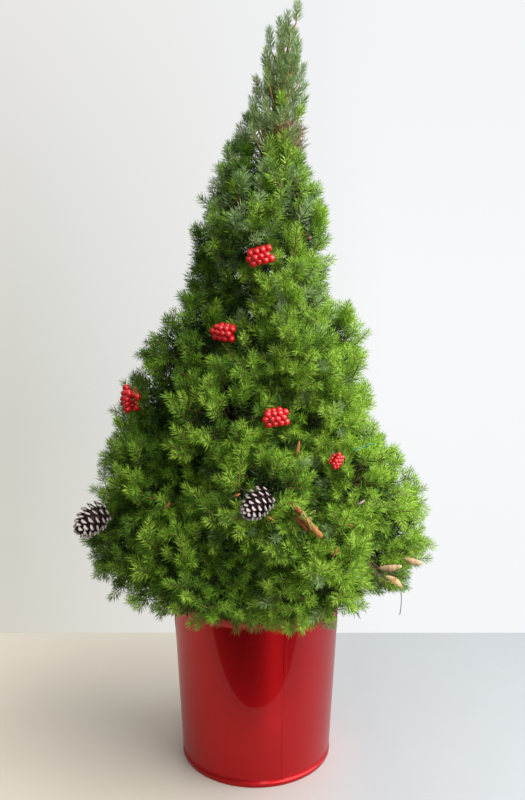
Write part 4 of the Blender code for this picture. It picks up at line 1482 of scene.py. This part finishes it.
class SPRUCE_OT_sticks(Operator):
    """Tuck bundles of cinnamon sticks with raffia ties into the crown"""

    bl_idname = "spruce.sticks"
    bl_label = "Cinnamon Sticks"

    def execute(self, context):
        trim = context.scene.spruce_trim
        looks = (
            ("cinnamon_bark", 420.0, shades(trim.cinnamon, 0.55, 1.25), 0.0005),
            ("raffia_fibre", 900.0, shades(trim.raffia, 0.6, 1.35), 0.0002),
            ("cinnamon_dark", 420.0, shades(trim.cinnamon_dark, 0.55, 1.25), 0.0005),
        )
        bark, raffia, dark_bark = (
            textured(name, 0.7, streaks, scale, tints, bump, (0.55, 0.8)) for name, scale, tints, bump in looks
        )
        wire = bark_material("tie_wire", (0.22, 0.21, 0.20), 900.0, 0.0001)
        masses = plan_masses()
        for number, perch in enumerate(STICKS, 1):
            bm = bmesh.new()
            self.bundle(bm, trim, random.Random(STICK_SEED + number))
            seat(bm, perch, masses)
            settle(piece_from_bmesh(f"cinnamon_{number}", bm, [bark, raffia, wire, dark_bark]))
        self.slivers(trim, masses)
        self.loose_wires(wire, masses)
        return {"FINISHED"}

    def loose_wires(self, wire, masses):
        """Ends of thin wire that stick out of the needles, one of them green."""
        green = bark_material("green_wire", (0.03, 0.24, 0.20), 900.0, 0.0001)
        bm = bmesh.new()
        for perch in WIRES:
            piece = bmesh.new()
            ends = Vector((-perch.size / 2, 0, -0.004)), Vector((perch.size / 2, 0, 0.0))
            path = bezier(ends[0], Vector((0, 0.004, 0.004)), ends[1], 8)
            skin_along(piece, path, [0.00055] * 8, 6, slot=perch.tint)
            seat(piece, perch, masses)
            join(bm, piece)
        settle(piece_from_bmesh("loose_wires", bm, [wire, green]))

    def slivers(self, trim, masses):
        """Small curved slivers of bark among the needles."""
        looks = (("brown", shades(trim.cinnamon, 0.75)[0]), ("orange", trim.sliver_orange),
                 ("mauve", trim.sliver_mauve), ("tan", trim.sliver_tan))
        bm = bmesh.new()
        for perch in SLIVERS:
            length = perch.size
            wide = 0.36 if perch.tint == TAN else 0.26
            piece = bmesh.new()
            bmesh.ops.create_grid(piece, x_segments=7, y_segments=3, size=0.5)
            for vert in piece.verts:
                along = vert.co.x
                curl = 0.12 * length * (1 - 4 * along * along) - 0.9 * length * 0.3 * vert.co.y**2
                torn = noise.noise(vert.co * 3.1 + Vector((length * 900, 0, 0)))
                narrow = 1 - 3.3 * along * along + 0.12 * torn
                vert.co = Vector((along * length, vert.co.y * narrow * wide * length, curl))
            bmesh.ops.solidify(piece, geom=piece.faces[:], thickness=0.0009)
            fill_slot(piece.verts, perch.tint)
            if perch.tint == TAN:
                rotate(piece, piece.verts, -1.0, "Y")
            seat(piece, perch, masses)
            join(bm, piece)
        bmesh.ops.recalc_face_normals(bm, faces=bm.faces)
        tints = [bark_material(f"sliver_{name}", tint, 300.0, 0.0003) for name, tint in looks]
        settle(piece_from_bmesh("bark_slivers", bm, tints))

    def bundle(self, bm, trim, dice):
        """A quill and two broken ones along X, a tie round them and its loose ends."""
        for share, thick, spot, tint in (
            (0.70, 1.0, (0.012, 0.0, 0.0), BARK_TINT), (0.42, 0.85, (-0.017, 0.0012, -0.002), DARK_TINT),
            (0.50, 0.70, (0.002, -0.0060, -0.004), DARK_TINT),
        ):
            quill = bmesh.new()
            self.quill(quill, trim, dice)
            fill_slot(quill.verts, tint)
            bmesh.ops.scale(quill, vec=(share, thick, thick), verts=quill.verts)
            bmesh.ops.translate(quill, vec=spot, verts=quill.verts)
            join(bm, quill)
        for loop in range(5):
            self.strand(bm, trim, -0.0095 + 0.0013 * loop)
        for _ in range(4):
            start = Vector((dice.uniform(-0.010, -0.005), dice.uniform(-0.002, 0.004), 0.0044))
            middle = start + Vector((dice.uniform(-0.016, 0.016), dice.uniform(-0.004, 0.018), 0.007))
            last = middle + Vector((dice.uniform(-0.014, 0.014), dice.uniform(-0.014, 0.004), -0.004))
            skin_along(bm, bezier(start, middle, last, 9), [0.0007] * 8 + [0.0003], 5, slot=RAFFIA_TINT)
        path = bezier(up(-0.003), Vector((0.002, 0, -0.014)), Vector((0.0, 0.002, -0.030)), 6)
        skin_along(bm, path, [0.0007] * 6, 6, slot=WIRE_TINT)

    def quill(self, bm, trim, dice):
        """A strip of bark whose two edges roll inwards, along X."""
        outline = []
        for turns in range(-QUILL_TURNS, QUILL_TURNS):
            side = 1 if turns >= 0 else -1
            share = (turns + 0.5) / QUILL_TURNS * side
            angle = side * share * math.pi * 1.75
            radius = trim.stick_radius * (1 - 0.52 * share)
            y = radius * math.sin(angle) + trim.stick_radius * 0.30 * side * share
            outline.append((-trim.stick_length / 2, y, radius * math.cos(angle)))
        ring = [bm.verts.new(point) for point in outline]
        edges = [bm.edges.new(pair) for pair in zip(ring, ring[1:])]
        faces = []
        for step in range(QUILL_STEPS):
            grown = bmesh.ops.extrude_edge_only(bm, edges=edges)["geom"]
            fresh = only(grown, BMVert)
            faces += only(grown, BMFace)
            edges = [edge for edge in only(grown, BMEdge) if edge.verts[0] in fresh and edge.verts[1] in fresh]
            ragged = dice.uniform(-0.0012, 0.0012) if step == QUILL_STEPS - 1 else 0.0
            for vert in fresh:
                vert.co.x += trim.stick_length / QUILL_STEPS + ragged
                vert.co.y *= dice.uniform(0.985, 1.015)
                vert.co.z *= dice.uniform(0.985, 1.015)
        bmesh.ops.recalc_face_normals(bm, faces=faces)
        bmesh.ops.solidify(bm, geom=faces, thickness=0.0007)

    def strand(self, bm, trim, along):
        """One turn of raffia round the two quills."""
        points = []
        for step in range(19):
            angle = math.tau * step / 18
            spot = along + 0.0010 * math.sin(angle + along * 900)
            wide, tall = trim.stick_radius * 1.12, trim.stick_radius * 1.10
            points.append(Vector((spot, wide * math.cos(angle), tall * math.sin(angle))))
        skin_along(bm, points, [0.00075] * len(points), 5, slot=RAFFIA_TINT)


class SPRUCE_OT_stage(Operator):
    """Set up the table, the soft light and the camera"""

    bl_idname = "spruce.stage"
    bl_label = "Table, Light and Camera"

    def execute(self, context):
        stage = context.scene.spruce_stage
        self.table(stage)
        self.room(context.scene, stage)
        crown, pot = (0.0, 0.0, 0.45), (0.0, 0.0, 0.10)
        self.soft_light("key", (1.85, -0.70, 2.10), crown, (3.2, 3.2), stage.key_power, (1.0, 0.99, 0.97))
        self.soft_light("front", (0.50, -2.3, 1.2), crown, (0.5, 1.8), stage.front_power, (1.0, 1.0, 1.0))
        self.soft_light("low", (0.95, -2.0, -0.62), pot, (0.25, 0.5), stage.low_power, (1.0, 1.0, 1.0))
        view = bpy.data.cameras.new("camera")
        view.lens = stage.lens
        view.sensor_width = SENSOR_WIDTH
        camera = bpy.data.objects.new("camera", view)
        camera.location = stage.camera_place
        camera.rotation_euler = (math.pi / 2 - stage.camera_pitch, 0.0, 0.0)
        context.scene.collection.objects.link(camera)
        context.scene.camera = camera
        context.scene.view_settings.view_transform = "Standard"
        return {"FINISHED"}

    def table(self, stage):
        top = textured("pale_table", 0.42, mottle, 3.0, ((0.95, 0.95, 0.95), (1.0, 1.0, 1.0)), 0.0, (0.38, 0.5))
        self.fade(top.node_tree, stage)
        bm = bmesh.new()
        wide, thick = TABLE_SIZE
        bmesh.ops.create_cube(bm, size=1.0)
        bmesh.ops.scale(bm, vec=(wide, stage.table_back + stage.table_front, thick), verts=bm.verts)
        middle = (stage.table_back - stage.table_front) / 2
        bmesh.ops.translate(bm, vec=(0, middle, -thick / 2 - 0.0004), verts=bm.verts)
        soften(bm, bm.edges[:], 0.003)
        piece_from_bmesh("table", bm, [top])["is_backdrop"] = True

    def fade(self, tree, stage):
        """Paints light and shade into the table's colour: a warm pale left of painted light, a painted shaded
        stretch just left of the pot, a cool right darkened as painted shade, and painted shade slightly darker
        towards the back.
        """
        base = tree.nodes["Principled BSDF"].inputs["Base Color"]
        mottled = base.links[0].from_socket
        split = add_node(tree, "SeparateXYZ", vector=add_node(tree, "TexCoord")["Object"])
        sideways = span_node(tree, split["X"], -0.42, 0.16)
        # Painted light at the left, painted shade just left of the pot and at the right
        stops = ((0.0, stage.table_left), (0.50, stage.table_shade), (1.0, stage.table_right))
        # Painted shade: the table grows slightly darker towards the back
        painted_back_shade_stops = ((0.0, (1.0, 1.0, 1.0)), (1.0, (0.92, 0.92, 0.92)))
        painted_back_shade = ramp_node(tree, span_node(tree, split["Y"], -0.27, 0.25), painted_back_shade_stops)
        darker = mix_node(tree, 1.0, ramp_node(tree, sideways, stops), painted_back_shade, "MULTIPLY")
        feed(tree, base, mix_node(tree, 1.0, darker, mottled, "MULTIPLY"))

    def soft_light(self, name, spot, aim, size, power, tint):
        lamp = bpy.data.lights.new(name, "AREA")
        lamp.shape = "RECTANGLE"
        lamp.size, lamp.size_y = size
        lamp.energy = power
        lamp.color = tint
        light = bpy.data.objects.new(name, lamp)
        light.location = spot
        light.rotation_euler = (Vector(aim) - light.location).to_track_quat("-Z", "Y").to_euler()
        bpy.context.scene.collection.objects.link(light)

    def room(self, scene, stage):
        """A pale wall as the camera sees it, its colours painted light and shade that darken its left, and a
        softer room that lights and is reflected.
        """
        world = scene.world = bpy.data.worlds.new("room")
        world.use_nodes = True
        tree = world.node_tree
        split = add_node(tree, "SeparateXYZ", vector=add_node(tree, "TexCoord")["Generated"])
        height = span_node(tree, split["Z"], -0.45, 0.15)
        # Painted light and shade on the wall: darker and warmer at the left, brighter at the right
        walls = [ramp_node(tree, height, stops) for stops in (WALL_LEFT, WALL_RIGHT)]
        wall = mix_node(tree, span_node(tree, split["X"], -0.24, 0.12), *walls)
        glow = ramp_node(tree, span_node(tree, split["X"], -1.0, 1.0), ROOM_GLOW)
        around = mix_node(tree, span_node(tree, split["Z"], -0.06, 0.10), ROOM_FLOOR, glow)
        behind = span_node(tree, split["Y"], -1.0, 1.0, 0.8 * stage.room_light, 1.5 * stage.room_light)
        above = span_node(tree, split["Z"], 0.0, 0.5, 0.62, 1.75)
        lit = add_node(tree, "Background", color=around, strength=math_node(tree, "MULTIPLY", behind, above))
        seen = tree.nodes["Background"]
        either = tree.nodes.new("ShaderNodeMixShader")
        feed(tree, seen.inputs["Color"], wall)
        feed(tree, either.inputs["Fac"], add_node(tree, "LightPath")["Is Camera Ray"])
        feed(tree, either.inputs[1], lit["Background"])
        feed(tree, either.inputs[2], seen.outputs["Background"])
        feed(tree, tree.nodes["World Output"].inputs["Surface"], either.outputs["Shader"])


class SPRUCE_PT_panel(Panel):
    """Lists the steps that make the potted spruce"""

    bl_idname = "SPRUCE_PT_panel"
    bl_label = "Potted Dwarf Spruce"
    bl_space_type = "VIEW_3D"
    bl_region_type = "UI"
    bl_category = "Spruce"

    def draw(self, context):
        for label in ("pot", "soil", "trunk", "berries", "cones", "sticks", "crown", "stage"):
            self.layout.operator(f"spruce.{label}")
        for name, kind in SETTINGS.items():
            box = self.layout.box()
            for label in kind.__annotations__:
                box.prop(getattr(context.scene, name), label)


SETTINGS = {
    "spruce_crown": CrownSettings, "spruce_pot": PotSettings, "spruce_trim": TrimSettings,
    "spruce_stage": StageSettings,
}
CLASSES = (
    *SETTINGS.values(), SPRUCE_OT_pot, SPRUCE_OT_soil, SPRUCE_OT_trunk, SPRUCE_OT_berries, SPRUCE_OT_cones,
    SPRUCE_OT_sticks, SPRUCE_OT_crown, SPRUCE_OT_stage, SPRUCE_PT_panel,
)


def register():
    for entry in CLASSES:
        bpy.utils.register_class(entry)
    for name, kind in SETTINGS.items():
        setattr(bpy.types.Scene, name, PointerProperty(type=kind))


def unregister():
    for name in SETTINGS:
        delattr(bpy.types.Scene, name)
    for entry in reversed(CLASSES):
        bpy.utils.unregister_class(entry)


def main():
    register()
    bpy.ops.spruce.pot()
    bpy.ops.spruce.soil()
    bpy.ops.spruce.trunk()
    bpy.ops.spruce.berries()
    bpy.ops.spruce.cones()
    bpy.ops.spruce.sticks()
    bpy.ops.spruce.crown()
    bpy.ops.spruce.stage()
    boxes = {"cad": CAD_BOX, "visual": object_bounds()}
    {name: [list(corner) for corner in box] for name, box in boxes.items()}


if __name__ == "__main__":
    main()
